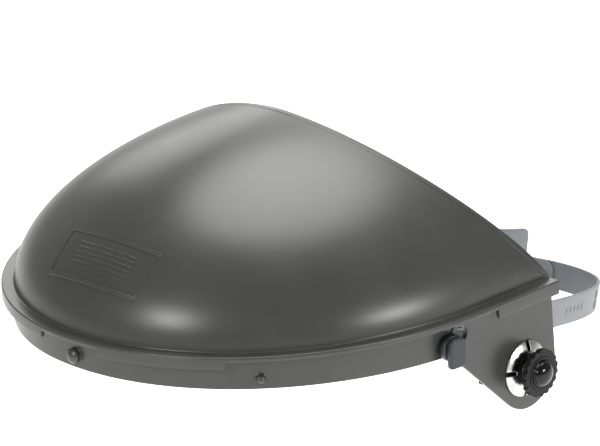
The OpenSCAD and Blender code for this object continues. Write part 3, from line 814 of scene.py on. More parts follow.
# %% Turn latches with their clips
LATCH_R, LATCH_GAP, BARREL_TOP, WING_THICK = 6.4, 1.0, 4.2, 3.0
wing_outline = rounded([(-4.4, -8.8), (4.4, -8.8), (5.0, -1.0), (4.7, 5.6), (-4.7, 5.6), (-5.0, -1.0)],
                       [1.6, 1.6, 3.0, 3.4, 3.4, 3.0])
latch_x, out_x, out_y = (float(np.interp(latch_s, plan_s, values))
                         for values in (plan[:, 0], plan_out[:, 0], plan_out[:, 1]))
latch_out = (out_x, out_y, 0)
for side in SIDES:
    place = mirrored(facing((latch_x, LATCH_Y, LATCH_Z), latch_out), side)
    barrel = ([(-WALL - 2.4, 0), (-WALL - 2.4, STEM_R - 0.3), (-WALL - 2.1, STEM_R), (LATCH_GAP, STEM_R),
               (LATCH_GAP, LATCH_R - 0.4), (LATCH_GAP + 0.12, LATCH_R - 0.12), (LATCH_GAP + 0.4, LATCH_R)]
              + list(reversed(corner(BARREL_TOP, LATCH_R, 1.1, -1, -1))) + [(BARREL_TOP, 0)])

    def above(a, b, h, bend=place):
        return bend(a, b, h + BARREL_TOP - 0.2)

    wing = sheet_piece(f"latch_wing_{side}", [wing_outline], WING_THICK + 0.2, 1.0, 1.5, above, LATCH_ACETAL)
    latch = join(f"turn_latch_{side}", [turned(f"latch_barrel_{side}", barrel, place, LATCH_ACETAL), wing])
    hand_in(latch, f"latch_{side}", "latch", f"latch_{side}")

    def behind(a, b, h, bend=place):
        return bend(a, b, h - WALL - 2.2)

    ring = [arc((0, 0), STEM_R + 2.4, 0, 360, 40)[:-1], hole((0, 0), STEM_R + 0.05)]
    clip = sheet_piece(f"push_on_clip_{side}", ring, 1.3, 0.3, 1.4, behind, KNOB_NYLON)
    hand_in(clip, f"latch_{side}", "clip", f"latch_clip_{side}")

# %% [markdown]
# ## The friction pivots
# Each pivot is a stack on one bolt: bolt head, bracket, stop, fibre washer, ear, spring disc,
# knob and cap nut. The disc is a dished sheet with four open slots, so it is cut flat and raised
# towards its middle. The knob's rim is where many equal scallops repeat, which suits a node tree.

# %% Bolts, stops, washers and spring discs
HEAD_X, BRACKET_X, BRACKET_THICK, STOP_THICK = 101.5, 104.5, 2.5, 2.0
EAR_X = HALF_WIDE - SKIRT_IN - WALL
DISC_X, DISC_R, DISC_RISE, DISC_THICK = HALF_WIDE - SKIRT_IN + 0.1, 13.5, 3.4, 0.8
SHANK_R = 3.0
KNOB_X, KNOB_R, KNOB_THICK = 123.3, 11.3, 2.7
HUB_R = 6.5
FINGER_END, FINGER_TOP, FINGER_LOW = -22.6, -0.9, -3.6
SLOT_HALF, SLOT_END = 1.1, 9.6
SLOT_TURNS = [87, 177, 267, 357]


def on_axle(x, side):
    """A bend whose h runs outwards along the tilt axis from x, with a towards the rear."""
    return mirrored(facing((x, 0, 0), (1, 0, 0)), side)


def slotted_disc():
    """The disc's edge: a circle broken by four slots with round ends, anticlockwise."""
    half = math.degrees(math.asin(SLOT_HALF / DISC_R))
    points = []
    for turn, following in zip(SLOT_TURNS, SLOT_TURNS[1:] + [SLOT_TURNS[0] + 360]):
        c, s = math.cos(math.radians(turn)), math.sin(math.radians(turn))
        for k in range(13):
            a = math.pi * (-0.5 - k / 12)
            r, w = SLOT_END + SLOT_HALF * math.cos(a), SLOT_HALF * math.sin(a)
            points.append((r * c - w * s, r * s + w * c))
        points += arc((0, 0), DISC_R, turn + half, following - half, 28)
    return points


for side in SIDES:
    bolt = ([(HEAD_X, 0), (HEAD_X, 5.2)] + [(HEAD_X + 0.9 * (1 - math.cos(a)), 5.2 + 1.8 * math.sin(a))
            for a in np.linspace(0.2, math.pi / 2, 6)]
            + [(BRACKET_X, 7.0), (BRACKET_X, SHANK_R), (BRACKET_X + BRACKET_THICK, SHANK_R),
               (BRACKET_X + BRACKET_THICK, SHOULDER_R), (DISC_X + DISC_RISE + 0.6, SHOULDER_R),
               (DISC_X + DISC_RISE + 0.6, SHANK_R), (KNOB_X + KNOB_THICK + 1.6, SHANK_R),
               (KNOB_X + KNOB_THICK + 2, SHANK_R - 0.4), (KNOB_X + KNOB_THICK + 2, 0)])
    piece = turned(f"shouldered_bolt_{side}", bolt, on_axle(0, side), ZINC)
    hand_in(piece, "headgear", "bolt", f"pivot_bolt_{side}")

    finger = rounded([(-9.5, FINGER_TOP), (FINGER_END, FINGER_TOP), (FINGER_END, FINGER_LOW),
                      (-9.5, FINGER_LOW)], [0, 1.2, 1.2, 0], 5)[7:-7]
    stop_edge = arc((0, 0), 9, -150, 153, 48) + finger
    stop = sheet_piece(f"stop_finger_{side}", [stop_edge, hole((0, 0), SHOULDER_R + 0.05)], STOP_THICK,
                       0.35, 1.6, on_axle(BRACKET_X + BRACKET_THICK, side), KNOB_NYLON)
    hand_in(stop, "headgear", "stop", f"tilt_stop_{side}")

    washer_x = BRACKET_X + BRACKET_THICK + STOP_THICK
    ring = [arc((0, 0), 8.5, 0, 360, 60)[:-1], hole((0, 0), SHOULDER_R + 0.05)]
    washer = sheet_piece(f"fibre_washer_{side}", ring, EAR_X - 0.05 - washer_x, 0.3, 1.6,
                         on_axle(washer_x, side), FIBRE)
    hand_in(washer, "headgear", "washer", f"friction_washer_{side}")

    def dished(a, b, h, bend=on_axle(DISC_X, side)):
        share = np.clip((DISC_R - np.hypot(a, b)) / (DISC_R - SHOULDER_R - 2), 0, 1)
        return bend(a, b, h + (DISC_RISE - DISC_THICK) * (share + 0.35 * share * (1 - share)))

    disc = sheet_piece(f"slotted_spring_disc_{side}", [slotted_disc(), hole((0, 0), SHOULDER_R + 0.1, 48)],
                       DISC_THICK, 0.22, 1.0, dished, NICKEL)
    hand_in(disc, "headgear", "disc", f"spring_disc_{side}")

# %% [markdown]
# A node tree makes the knob's rim: one plain cylinder, and a ring of small cylinders that a
# boolean takes out of it. Its sizes are inputs, so the same tree could make any such knob. The
# tree's result becomes a plain mesh, because the bodies it moves with only take finished meshes.

# %% Node trees: how they are started and run
SOCKETS = {"float": "NodeSocketFloat", "int": "NodeSocketInt", "material": "NodeSocketMaterial"}


def new_tree(name, inputs):
    """A geometry tree with a geometry input, its named inputs and a geometry output."""
    tree = bpy.data.node_groups.new(name, "GeometryNodeTree")
    tree.interface.new_socket("Geometry", in_out="INPUT", socket_type="NodeSocketGeometry")
    for label, kind in inputs.items():
        tree.interface.new_socket(label, in_out="INPUT", socket_type=SOCKETS[kind])
    tree.interface.new_socket("Geometry", in_out="OUTPUT", socket_type="NodeSocketGeometry")
    return tree, add(tree, "NodeGroupInput").outputs


def close_tree(tree, geometry, material):
    """Ends a tree: real geometry instead of instances, then the material, then the output."""
    real = add(tree, "GeometryNodeRealizeInstances", {"Geometry": geometry})
    painted = add(tree, "GeometryNodeSetMaterial", {"Geometry": real.outputs[0], "Material": material})
    add(tree, "NodeGroupOutput", {0: painted.outputs[0]})


def grow(name, seed_points, seed_edges, tree, values, outs=None):
    """Runs a tree on seed points, given in metres, and returns its result as a plain mesh object."""
    mesh = bpy.data.meshes.new(name)
    mesh.from_pydata([tuple(p) for p in seed_points], seed_edges, [])
    if outs is not None:
        facing_out = mesh.attributes.new("out", "FLOAT_VECTOR", "POINT")
        facing_out.data.foreach_set("vector", np.array(outs, np.float32).ravel())
    piece = bpy.data.objects.new(name, mesh)
    scene.collection.objects.link(piece)
    modifier = piece.modifiers.new(tree.name, "NODES")
    modifier.node_group = tree
    for item in tree.interface.items_tree:
        if item.in_out == "INPUT" and item.name in values:
            modifier[item.identifier] = values[item.name]
    return settle(piece)


# %% The scalloped knob
knob_tree, sizes = new_tree("scalloped_rim", {"Radius": "float", "Thickness": "float", "Scallops": "int",
                                              "Scallop Radius": "float", "Finish": "material"})
blank = add(knob_tree, "GeometryNodeMeshCylinder", {"Vertices": 144, "Radius": sizes["Radius"],
                                                    "Depth": sizes["Thickness"]})
outside = add(knob_tree, "ShaderNodeMath", {0: sizes["Radius"], 1: 0.5 * MM}, operation="ADD")
places = add(knob_tree, "GeometryNodeMeshCircle", {"Vertices": sizes["Scallops"],
                                                   "Radius": outside.outputs[0]})
deeper = add(knob_tree, "ShaderNodeMath", {0: sizes["Thickness"], 1: 3.0}, operation="MULTIPLY")
cutter = add(knob_tree, "GeometryNodeMeshCylinder", {"Vertices": 20, "Radius": sizes["Scallop Radius"],
                                                     "Depth": deeper.outputs[0]})
cutters = add(knob_tree, "GeometryNodeInstanceOnPoints", {"Points": places.outputs[0],
                                                          "Instance": cutter.outputs[0]})
whole = add(knob_tree, "GeometryNodeRealizeInstances", {"Geometry": cutters.outputs[0]})
cut = add(knob_tree, "GeometryNodeMeshBoolean", {"Mesh 1": blank.outputs[0], "Mesh 2": whole.outputs[0]},
          operation="DIFFERENCE")
close_tree(knob_tree, cut.outputs[0], sizes["Finish"])


def laid(piece, bend):
    """Puts a flat-built mesh in place: its x, y and z become a, b and h."""
    co = np.array([tuple(v.co) for v in piece.data.vertices]) / MM
    piece.data.vertices.foreach_set("co", (bend(co[:, 0], co[:, 1], co[:, 2]) * MM).ravel())
    work = bmesh.new()
    work.from_mesh(piece.data)
    bmesh.ops.remove_doubles(work, verts=work.verts, dist=0.002 * MM)
    bmesh.ops.recalc_face_normals(work, faces=work.faces)
    work.to_mesh(piece.data)
    work.free()
    piece.data.update()
    return piece


def round_edges(piece, size, segments=3, angle=38):
    """A bevel on every edge sharper than an angle, applied."""
    bevel = piece.modifiers.new("edges", "BEVEL")
    bevel.width = size * MM
    bevel.segments = segments
    bevel.limit_method = "ANGLE"
    bevel.angle_limit = math.radians(angle)
    return settle(piece)


for side in SIDES:
    rim = grow(f"knob_rim_{side}", [(0, 0, 0)], [], knob_tree,
               {"Radius": KNOB_R * MM, "Thickness": KNOB_THICK * MM, "Scallops": 18,
                "Scallop Radius": 1.25 * MM, "Finish": KNOB_NYLON})
    rim = round_edges(laid(rim, on_axle(KNOB_X + KNOB_THICK / 2, side)), 0.35, 2)
    low, top = DISC_X + DISC_RISE + 0.7, KNOB_X + KNOB_THICK
    hub_profile = [(low, 0), (low, HUB_R - 0.4), (low + 0.4, HUB_R), (KNOB_X + 0.3, HUB_R), (KNOB_X + 0.3, 0)]
    hub = turned(f"knob_hub_{side}", hub_profile, on_axle(0, side), KNOB_NYLON)
    collar_profile = [(top - 0.5, 0), (top - 0.5, 8.2), (top + 0.25, 8.1), (top + 0.45, 7.9),
                      (top + 0.45, 7.0), (top + 0.3, 6.8), (top - 0.3, 6.7), (top - 0.3, 0)]
    collar = turned(f"knob_collar_{side}", collar_profile, on_axle(0, side), KNOB_NYLON)
    knob = join(f"scalloped_knob_{side}", [rim, hub, collar])
    hand_in(knob, f"knob_{side}", "knob", f"tension_knob_{side}")
    nut = [(top, 0), (top, 6.5), (top + 0.35, 6.5), (top + 0.6, 6.4), (top + 0.72, 6.15), (top + 0.76, 5.95)]
    nut += [(top + 0.8 + 3.2 * math.sin(a), 5.8 * math.cos(a)) for a in np.linspace(0, math.pi / 2, 14)]
    hand_in(turned(f"domed_cap_nut_{side}", nut, on_axle(0, side), CAP_PHENOLIC, 72),
            f"knob_{side}", "cap", f"cap_nut_{side}")

# %% [markdown]
# ## The head harness
# The headband is strip stock bent along one curve: two arcs from the nape to the tilt axis and on
# to the brow. Its plane leans, low at the nape. A strap is a sheet whose length is measured along
# that curve, so its round ends and holes stay true when it is bent.

# %% The headband's curve
BAND_HALF, BAND_BACK, BAND_FRONT, BAND_Z = 86.0, 174.0, 60.0, 10.8
BAND_TILT = math.radians(14.4)
SPLAY = math.radians(15.6)
STRAP_THICK = 1.6
NAPE_ARC = np.array([[0, BAND_BACK], [45, BAND_BACK],
                     [BAND_HALF - 100 * math.sin(SPLAY), 100 * math.cos(SPLAY)], [BAND_HALF, 0]])
BROW_ARC = np.array([[BAND_HALF, 0], [BAND_HALF + 28 * math.sin(SPLAY), -28 * math.cos(SPLAY)],
                     [52, -BAND_FRONT], [0, -BAND_FRONT]])


def band_point(u, off=0.0):
    """A point of the band in its own plane: u is 0 at the nape, 1 at the left of the tilt axis,
    2 at the brow and negative on the right. off pushes it outwards."""
    f = abs(u) if abs(u) < 1 else abs(u) - 1
    c = NAPE_ARC if abs(u) < 1 else BROW_ARC
    p = c[0] * (1 - f) ** 3 + 3 * c[1] * f * (1 - f) ** 2 + 3 * c[2] * f * f * (1 - f) + c[3] * f ** 3
    d = (c[1] - c[0]) * (1 - f) ** 2 + 2 * (c[2] - c[1]) * f * (1 - f) + (c[3] - c[2]) * f * f
    r = p + off * np.array([-d[1], d[0]]) / np.linalg.norm(d)
    return np.array([-r[0] if u < 0 else r[0], r[1]])


def leaned(p):
    """From the band's own plane to the part's frame."""
    c, s = math.cos(BAND_TILT), math.sin(BAND_TILT)
    return np.stack([p[:, 0], p[:, 1] * c + p[:, 2] * s, BAND_Z - p[:, 1] * s + p[:, 2] * c], 1)


def along_band(u0, u1, off=lambda u: 0.0, steps=400):
    """A bend whose a runs along the band from u0 to u1, b up and h outwards; and its length."""
    us = np.linspace(u0, u1, steps)
    base = np.array([band_point(u, off(u)) for u in us])
    out = np.array([band_point(u, off(u) + 1) for u in us]) - base
    s = np.concatenate([[0], np.cumsum(np.linalg.norm(np.diff(base, axis=0), axis=1))])

    def bend(a, b, h):
        x = np.interp(a, s, base[:, 0]) + np.interp(a, s, out[:, 0]) * h
        y = np.interp(a, s, base[:, 1]) + np.interp(a, s, out[:, 1]) * h
        return leaned(np.stack([x, y, b], 1))
    return bend, s[-1], lambda u: float(np.interp(u, us, s) if u1 > u0 else np.interp(-u, -us, s))


def strap_outline(length, high, corner_start, corner_end, step=2.0):
    """A strip's edge from a = 0 to its length, with its own corner radius at each end."""
    half = high / 2
    loop = rounded([(0, -half), (length, -half), (length, half), (0, half)],
                   [corner_start, corner_end, corner_end, corner_start], 8)
    dense = []
    for p, q in zip(loop, loop[1:] + loop[:1]):
        n = max(1, int(math.dist(p, q) / step))
        dense += [(p[0] + (q[0] - p[0]) * k / n, p[1] + (q[1] - p[1]) * k / n) for k in range(n)]
    return dense


# %% Front band and nape straps
RIVET_BACK, RIVET_FRONT = 0.79, 1.36
BUTTON_US = (-0.15, -0.25)
BROW_HIGH, NAPE_HIGH = 20.0, 14.0


def right_off(u):
    """How far the right nape strap lies outside the curve: it dives under the left one."""
    share = min(max((0.55 + u) / 0.2, 0), 1)
    return 0.1 - (STRAP_THICK + 0.1) * (1 - math.cos(math.pi * share)) / 2


bend, length, place_of = along_band(1.02, 2.0)
half_long = length


def whole_front(a, b, h):
    """The front band's two halves as one strip: a is 0 at the brow and grows to the left."""
    flat = bend(half_long - np.abs(a), b, h - STRAP_THICK)
    flat[:, 0] *= np.where(a < 0, -1, 1)
    return flat


front_edge = [(a - half_long, b) for a, b in strap_outline(2 * half_long, BROW_HIGH, 7, 7)]
front = sheet_piece("front_headband", [front_edge], STRAP_THICK + 0.1, 0.5, 3.0, whole_front, STRAP_PE)
hand_in(front, "headgear", "strap", "headband_front")

for side, start, end, off in (("left", 0.97, -0.32, lambda u: 0.1), ("right", -0.97, -0.066, right_off)):
    bend, length, place_of = along_band(start, end, off)
    holes = [hole((place_of(u), 0), 2.05, 20) for u in BUTTON_US]
    strap = sheet_piece(f"nape_strap_{side}_moulded", [strap_outline(length, NAPE_HIGH, 3, 6.5)] + holes,
                        STRAP_THICK, 0.5, 2.6, bend, STRAP_PE)
    hand_in(strap, "headgear", "strap", f"nape_strap_{side}")

# %% [markdown]
# Each side bracket is a bow that springs from the band out to the pivot, with an upright lug for
# the crown strap. The bow is cut flat against the side view and bent in plan; the lug is a plain
# sheet with a round corner at its upper rear.

# %% Side brackets
AXIS_IN_BAND = (BAND_Z * math.sin(BAND_TILT), -BAND_Z * math.cos(BAND_TILT))
LUG_X, LUG_FOOT, LUG_TOP = 79.5, 7.3, 46.8
RIVET_Y, RIVET_Z = 22.0, 34.0


def bow_rail():
    """The bow's plan as y against x, in the band's plane."""
    rows = []
    for u in np.linspace(0.70, 1.50, 200):
        x, y = band_point(u, STRAP_THICK + 0.3)
        share = min(max((abs(y - AXIS_IN_BAND[0]) - 15) / 17, 0), 1)
        rows.append((y, BRACKET_X + (x - BRACKET_X) * (1 - math.cos(math.pi * share)) / 2))
    return np.array(sorted(rows))


bow = bow_rail()


def bowed(a, b, h):
    """a is y in the band's plane, b is up and h is outwards from the bow's inner face."""
    return leaned(np.stack([np.interp(a, bow[:, 0], bow[:, 1]) + h, a, b], 1))


bow_front, bow_rear = band_point(1.48)[1], band_point(0.72)[1]
py, pz = AXIS_IN_BAND
LOBE_R = 11.5
ARM_LOW, REAR_ARM_TOP, FRONT_ARM_TOP, ARM_END_R = -7, 9, 3, 4


def arm_end(y, inner_y, first, last):
    """The rounded end of an arm, from one of its edges to the other."""
    ends = [(y, first), (y, last), (inner_y, last), (inner_y, first)]
    return rounded(ends, [ARM_END_R, ARM_END_R, 0, 0], 6)[:14]


bow_edge = ([(bow_front + 3, ARM_LOW)] + [(y, ARM_LOW) for y in np.arange(bow_front + 6, py - 14, 3.0)]
            + arc((py, pz), LOBE_R, 195, 345, 30)
            + [(y, ARM_LOW) for y in np.arange(py + 14, bow_rear - 5, 3.0)]
            + arm_end(bow_rear, bow_rear - 8, ARM_LOW, REAR_ARM_TOP)
            + [(y, REAR_ARM_TOP) for y in np.arange(bow_rear - 10, -11, -3.0)]
            + [(y, FRONT_ARM_TOP) for y in np.arange(-24.5, bow_front + 5, -3.0)]
            + arm_end(bow_front, bow_front + 8, FRONT_ARM_TOP, ARM_LOW))
lug_edge = rounded([(8.4, LUG_FOOT), (36, LUG_FOOT), (32.4, LUG_TOP), (9.2, LUG_TOP)], [1, 1, 3.2, 3], 8)
for side in SIDES:
    arms = sheet_piece(f"bracket_bow_{side}", [bow_edge, hole((py, pz), SHANK_R + 0.05)], BRACKET_THICK,
                       0.6, 2.4, mirrored(bowed, side), STRAP_PE)

    def lug_bend(a, b, h):
        return leaned(np.stack([LUG_X + h, a, b], 1))

    lug = sheet_piece(f"bracket_lug_{side}", [lug_edge, hole((RIVET_Y, RIVET_Z), 1.6, 20)], BRACKET_THICK,
                      0.6, 2.4, mirrored(lug_bend, side), STRAP_PE)
    hand_in(join(f"bracket_with_lug_{side}", [arms, lug]), "headgear", "strap", f"side_bracket_{side}")

# %% [markdown]
# The crown strap is two strips that overlap over the head. They swing on one rivet at each lug,
# and lie forward under the dome. Each strip is half an arch, so its bend is an ellipse whose
# length is measured first, and the right strip dives under the left one at the top.

# %% Crown strap
CROWN_RISE, CROWN_WIDE = 49.0, 16.0
CROWN_LEAN = math.radians(55)
ARCH_HALF = LUG_X - 0.3


def on_crown_plane(p):
    """From the crown strap's own plane, standing on its rivets' line, to the part's frame."""
    c, s = math.cos(CROWN_LEAN), math.sin(CROWN_LEAN)
    pivot = leaned(np.array([[0, RIVET_Y, RIVET_Z]]))[0]
    return np.stack([p[:, 0], pivot[1] + p[:, 1] * c - p[:, 2] * s, pivot[2] + p[:, 1] * s + p[:, 2] * c], 1)


def arch_rail(end_deg, layer):
    """The arch as lengths against places and outward directions, with a straight foot below it."""
    t = np.radians(np.linspace(0, end_deg, 200))
    dive = layer * (1 - np.cos(np.pi * np.clip(t / math.radians(60), 0, 1))) / 2
    p = np.stack([ARCH_HALF * np.cos(t), (CROWN_RISE + dive) * np.sin(t)], 1)
    p = np.vstack([[[ARCH_HALF, -8.0]], p])
    s = np.concatenate([[0], np.cumsum(np.linalg.norm(np.diff(p, axis=0), axis=1))])
    d = np.gradient(p, s, axis=0)
    d /= np.linalg.norm(d, axis=1)[:, None]
    return s, p, np.stack([d[:, 1], -d[:, 0]], 1)


for side, end_deg, layer in (("left", 104, 0.0), ("right", 98, -STRAP_THICK - 0.1)):
    s, p, out = arch_rail(end_deg, layer)

    def arched(a, b, h, s=s, p=p, out=out):
        x = np.interp(a, s, p[:, 0]) + np.interp(a, s, out[:, 0]) * (h - STRAP_THICK)
        z = np.interp(a, s, p[:, 1]) + np.interp(a, s, out[:, 1]) * (h - STRAP_THICK)
        return on_crown_plane(np.stack([x, b, z], 1))

    top_s = float(np.interp(0, -p[:, 0], s))
    holes = [hole((8, 0), 1.6, 20), hole((top_s, 0), 2.05, 20)]
    strip = sheet_piece(f"crown_strip_{side}", [strap_outline(s[-1], CROWN_WIDE, 5, 7)] + holes,
                        STRAP_THICK, 0.5, 2.6, mirrored(arched, side), STRAP_PE)
    hand_in(strip, "crown_strap", "strap", f"crown_strap_{side}")

# %% [markdown]
# ## Rivets and buttons
# Every rivet and tab button is the same thing at a different size: a shank with a low domed head
# at each end. One node tree sets them on points, and turns each to the direction that its point
# carries, so a new rivet costs one more point.

# %% Headed pins on points
pin_tree, sizes = new_tree("headed_pins", {"Shank Radius": "float", "Grip": "float", "Head Radius": "float",
                                           "Head Height": "float", "Tail Radius": "float",
                                           "Tail Height": "float", "Finish": "material"})


def head_on(tree, radius, height, at):
    """A low dome as an instance: a sphere squashed to a height and moved along z."""
    ball = add(tree, "GeometryNodeMeshUVSphere", {"Segments": 28, "Rings": 14, "Radius": 1.0})
    scale = add(tree, "ShaderNodeCombineXYZ", {"X": radius, "Y": radius, "Z": height})
    move = add(tree, "ShaderNodeCombineXYZ", {"Z": at})
    return add(tree, "GeometryNodeTransform", {"Geometry": ball.outputs[0], "Translation": move.outputs[0],
                                               "Scale": scale.outputs[0]})


shank = add(pin_tree, "GeometryNodeMeshCylinder", {"Vertices": 24, "Radius": sizes["Shank Radius"],
                                                   "Depth": sizes["Grip"]})
middle = add(pin_tree, "ShaderNodeMath", {0: sizes["Grip"], 1: 0.5}, operation="MULTIPLY")
lift = add(pin_tree, "ShaderNodeCombineXYZ", {"Z": middle.outputs[0]})
shank_up = add(pin_tree, "GeometryNodeTransform", {"Geometry": shank.outputs[0],
                                                   "Translation": lift.outputs[0]})
head = head_on(pin_tree, sizes["Head Radius"], sizes["Head Height"], sizes["Grip"])
tail = head_on(pin_tree, sizes["Tail Radius"], sizes["Tail Height"], 0.0)
pin = add(pin_tree, "GeometryNodeJoinGeometry")
for part in (shank_up, head, tail):
    pin_tree.links.new(part.outputs[0], pin.inputs[0])
direction = add(pin_tree, "GeometryNodeInputNamedAttribute", {"Name": "out"}, data_type="FLOAT_VECTOR")
turn_to = add(pin_tree, "FunctionNodeAlignRotationToVector", {"Vector": direction.outputs[0]}, axis="Z")
seeds = add(pin_tree, "GeometryNodeMeshToPoints", {"Mesh": pin_tree.nodes["Group Input"].outputs[0]})
set_pins = add(pin_tree, "GeometryNodeInstanceOnPoints", {
    "Points": seeds.outputs[0], "Instance": pin.outputs[0], "Rotation": turn_to.outputs[0]})
close_tree(pin_tree, set_pins.outputs[0], sizes["Finish"])


def pins(name, places, outs, shank_r, grip, head_size, tail_size, material):
    """Rivets or buttons at places, each from its place outwards along its own direction."""
    return grow(name, [np.array(p) * MM for p in places], [], pin_tree, {
        "Shank Radius": shank_r * MM, "Grip": grip * MM, "Head Radius": head_size[0] * MM,
        "Head Height": head_size[1] * MM, "Tail Radius": tail_size[0] * MM, "Tail Height": tail_size[1] * MM,
        "Finish": material}, outs)


def at_band(u, off, side="left"):
    """A place on the band, off outwards, and the outward direction there, in the part's frame."""
    flip = np.array([SIDES[side], 1, 1])
    a, b = (leaned(np.array([[*band_point(u, off + k), 0]]))[0] for k in (0, 1))
    return a * flip, (b - a) * flip


for side in SIDES:
    spots = [at_band(u, -STRAP_THICK, side) for u in (RIVET_BACK, RIVET_FRONT)]
    rivets = pins(f"band_rivets_headed_{side}", [p for p, _ in spots], [o for _, o in spots], 1.55,
                  2 * STRAP_THICK + 3.4, (3.2, 1.2), (3.2, 1.0), RIVET_ALU)
    hand_in(rivets, "headgear", "rivet", f"band_rivets_{side}")
    start = leaned(np.array([[ARCH_HALF - STRAP_THICK, RIVET_Y, RIVET_Z]])) * np.array([SIDES[side], 1, 1])
    rivet = pins(f"crown_strap_rivet_headed_{side}", start, [(SIDES[side], 0, 0)], 1.55,
                 85.5 - ARCH_HALF + STRAP_THICK, (3.4, 1.3), (3.2, 1.1), RIVET_ALU)
    hand_in(rivet, "crown_strap", "rivet", f"crown_rivet_{side}")

spots = [at_band(u, -STRAP_THICK, "left") for u in BUTTON_US]
buttons = pins("nape_tab_buttons", [p for p, _ in spots], [o for _, o in spots], 2.0, 2 * STRAP_THICK + 0.15,
               (2.8, 0.95), (3.2, 1.15), STRAP_PE)
hand_in(buttons, "headgear", "strap", "nape_buttons")
foot, top = on_crown_plane(np.array([[0, 0, CROWN_RISE - 2 * STRAP_THICK - 0.2], [0, 0, CROWN_RISE]]))
button = pins("crown_tab_button", [foot], [top - foot], 2.0, 2 * STRAP_THICK + 0.2, (3, 1.2), (3.2, 1.1),
              STRAP_PE)
hand_in(button, "crown_strap", "strap", "crown_strap_button")

# %% [markdown]
# ## Marks on the straps, and stitches
# Size marks on a strap and stitches along a seam are the same rule: equal grains in a row along a
# line. The tree resamples a line at a spacing and sets one grain on each point, along the line.

# %% Grains in a row
row_tree, sizes = new_tree("grains_in_a_row", {"Spacing": "float", "Along": "float", "Across": "float",
                                               "High": "float", "Finish": "material"})
line = add(row_tree, "GeometryNodeMeshToCurve", {"Mesh": row_tree.nodes["Group Input"].outputs[0]})
steps = add(row_tree, "GeometryNodeResampleCurve", {"Curve": line.outputs[0], "Length": sizes["Spacing"]},
            mode="LENGTH")
outward = add(row_tree, "GeometryNodeInputNamedAttribute", {"Name": "out"}, data_type="FLOAT_VECTOR")
tangent = add(row_tree, "GeometryNodeInputTangent")
upright_turn = add(row_tree, "FunctionNodeAlignRotationToVector", {"Vector": outward.outputs[0]}, axis="Z")
line_turn = add(row_tree, "FunctionNodeAlignRotationToVector",
                {"Rotation": upright_turn.outputs[0], "Vector": tangent.outputs[0]}, axis="X", pivot_axis="Z")
grain = add(row_tree, "GeometryNodeMeshUVSphere", {"Segments": 10, "Rings": 6, "Radius": 1.0})
shape = add(row_tree, "ShaderNodeCombineXYZ", {"X": sizes["Along"], "Y": sizes["Across"], "Z": sizes["High"]})
rows = add(row_tree, "GeometryNodeInstanceOnPoints", {
    "Points": steps.outputs[0], "Instance": grain.outputs[0], "Rotation": line_turn.outputs[0],
    "Scale": shape.outputs[0]})
close_tree(row_tree, rows.outputs[0], sizes["Finish"])


def row(name, points, outs, spacing, along, across, high, material):
    """Grains along a line of points, each with its outward direction."""
    edges = [(i, i + 1) for i in range(len(points) - 1)]
    return grow(name, [np.array(p) * MM for p in points], edges, row_tree,
                {"Spacing": spacing * MM, "Along": along * MM, "Across": across * MM, "High": high * MM,
                 "Finish": material}, outs)


marks = []
MARK_OFF = 0.1 + STRAP_THICK
us = np.linspace(0.62, 0.52, 30)
line = [leaned(np.array([[*band_point(u, MARK_OFF), 0]]))[0] for u in us]
outs = [leaned(np.array([[*band_point(u, MARK_OFF + 1), 0]]))[0] - p for u, p in zip(us, line)]
marks.append(row("size_marks", line, outs, 4.6, 0.32, 2.0, 0.3, STRAP_PE))
RING_U, RING_R = 0.38, 2.1
BAND_MM_PER_U = 190
_, out = at_band(RING_U, MARK_OFF)
for number, up in enumerate((2.6, -2.6)):
    circle = [leaned(np.array([[*band_point(RING_U + RING_R * math.cos(a) / BAND_MM_PER_U, MARK_OFF),
                                up + RING_R * math.sin(a)]]))[0] for a in np.linspace(0, 2 * math.pi, 41)]
    marks.append(row(f"mould_date_ring_{number}", circle, [out] * len(circle), 0.4, 0.35, 0.3, 0.3, STRAP_PE))
hand_in(join("strap_size_marks", marks), "headgear", "strap")

# %% [markdown]
# ## The brow pad
# A foam strip in a terry sleeve lines the front band. Cloth simulation blows a slightly smaller
# strip up against its own seams, which gives the crowned face and pulled-in ends of a real pad. A
# cap on how far each point may move keeps it inside its place, and the seams are stitched after.

# %% Brow pad by cloth simulation
PAD_U, PAD_THICK, PAD_HIGH = 1.42, 7.0, 30.0
PAD_SHRINK = 1.0
PAD_CAP = 1.6
VOXEL = 2.6

bend, length, _ = along_band(PAD_U, 2.0)
pad_half = length
pad_inner = -STRAP_THICK - 0.1 - PAD_THICK


def pad_place(a, b, h):
    """The pad's bend: a is 0 at the brow and grows to the left, h from its inner face outwards."""
    flat = bend(pad_half - np.abs(a), b, h + pad_inner)
    flat[:, 0] *= np.where(a < 0, -1, 1)
    return flat


long = pad_half - PAD_SHRINK
pad_edge = strap_outline(2 * long, PAD_HIGH - 2 * PAD_SHRINK, 9, 9)
pad_edge = [(a - long, b) for a, b in pad_edge]


def pad_start(a, b, h):
    return pad_place(a, b, h + PAD_SHRINK)


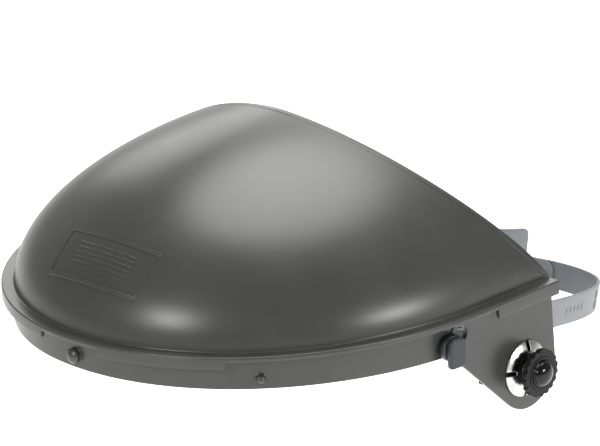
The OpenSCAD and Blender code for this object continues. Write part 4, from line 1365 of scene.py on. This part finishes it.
pad = sheet_piece("terry_brow_pad", [pad_edge], PAD_THICK - 2 * PAD_SHRINK, 2.2, 3.0, pad_start, TERRY)
remesh = pad.modifiers.new("even", "REMESH")
remesh.mode = "VOXEL"
remesh.voxel_size = VOXEL * MM
settle(pad)
pad.data.materials.clear()
pad.data.materials.append(TERRY)
before = np.array([tuple(v.co) for v in pad.data.vertices])
cloth = pad.modifiers.new("cloth", "CLOTH")
cloth.settings.use_pressure = True
cloth.settings.uniform_pressure_force = 4.0
cloth.settings.effector_weights.gravity = 0.0
cloth.settings.mass = 0.3
cloth.settings.tension_stiffness = 15
cloth.settings.compression_stiffness = 15
cloth.point_cache.frame_start, cloth.point_cache.frame_end = 1, 20
for frame_number in range(1, 21):
    scene.frame_set(frame_number)
blown = pad.evaluated_get(bpy.context.evaluated_depsgraph_get())
after = np.array([tuple(v.co) for v in blown.data.vertices])
moved = after - before
far = np.linalg.norm(moved, axis=1)[:, None]
print("the cloth moved by up to, mm:", round(float(far.max()) / MM, 2), "capped at", PAD_CAP)
moved *= np.minimum(1, PAD_CAP * MM / np.maximum(far, 1e-9))
pad.modifiers.clear()
pad.data.vertices.foreach_set("co", (before + moved).ravel())
scene.frame_set(1)
subdivision = pad.modifiers.new("fine", "SUBSURF")
subdivision.levels = subdivision.render_levels = 1
settle(pad)
pad.data.shade_smooth()
hand_in(pad, "headgear", "pad", "brow_pad")

# %% Stitches along the pad's two seams
pad_tree = BVHTree.FromObject(pad, bpy.context.evaluated_depsgraph_get())
seams = []
for up in (-PAD_HIGH / 2 + 2.6, PAD_HIGH / 2 - 2.6):
    spots, outs = [], []
    for a in np.linspace(-pad_half + 7, pad_half - 7, 120):
        p = Vector(pad_place(np.array([a]), np.array([up]), np.array([-1.0]))[0])
        q = Vector(pad_place(np.array([a]), np.array([up]), np.array([PAD_THICK / 2]))[0])
        hit, normal, _, _ = pad_tree.ray_cast(p * MM, (q - p).normalized())
        if hit:
            spots.append(tuple(hit / MM + normal * 0.05))
            outs.append(tuple(normal))
    seams.append(row(f"pad_seam_{len(seams)}", spots, outs, 3.0, 1.05, 0.32, 0.3, THREAD))
hand_in(join("pad_stitches", seams), "headgear", "pad")

# %% [markdown]
# ## Sizes
# The box round every shown piece is worked out. The visual model has to stay as large as the
# engineering model.

# %% Sizes and finish
low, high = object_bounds()
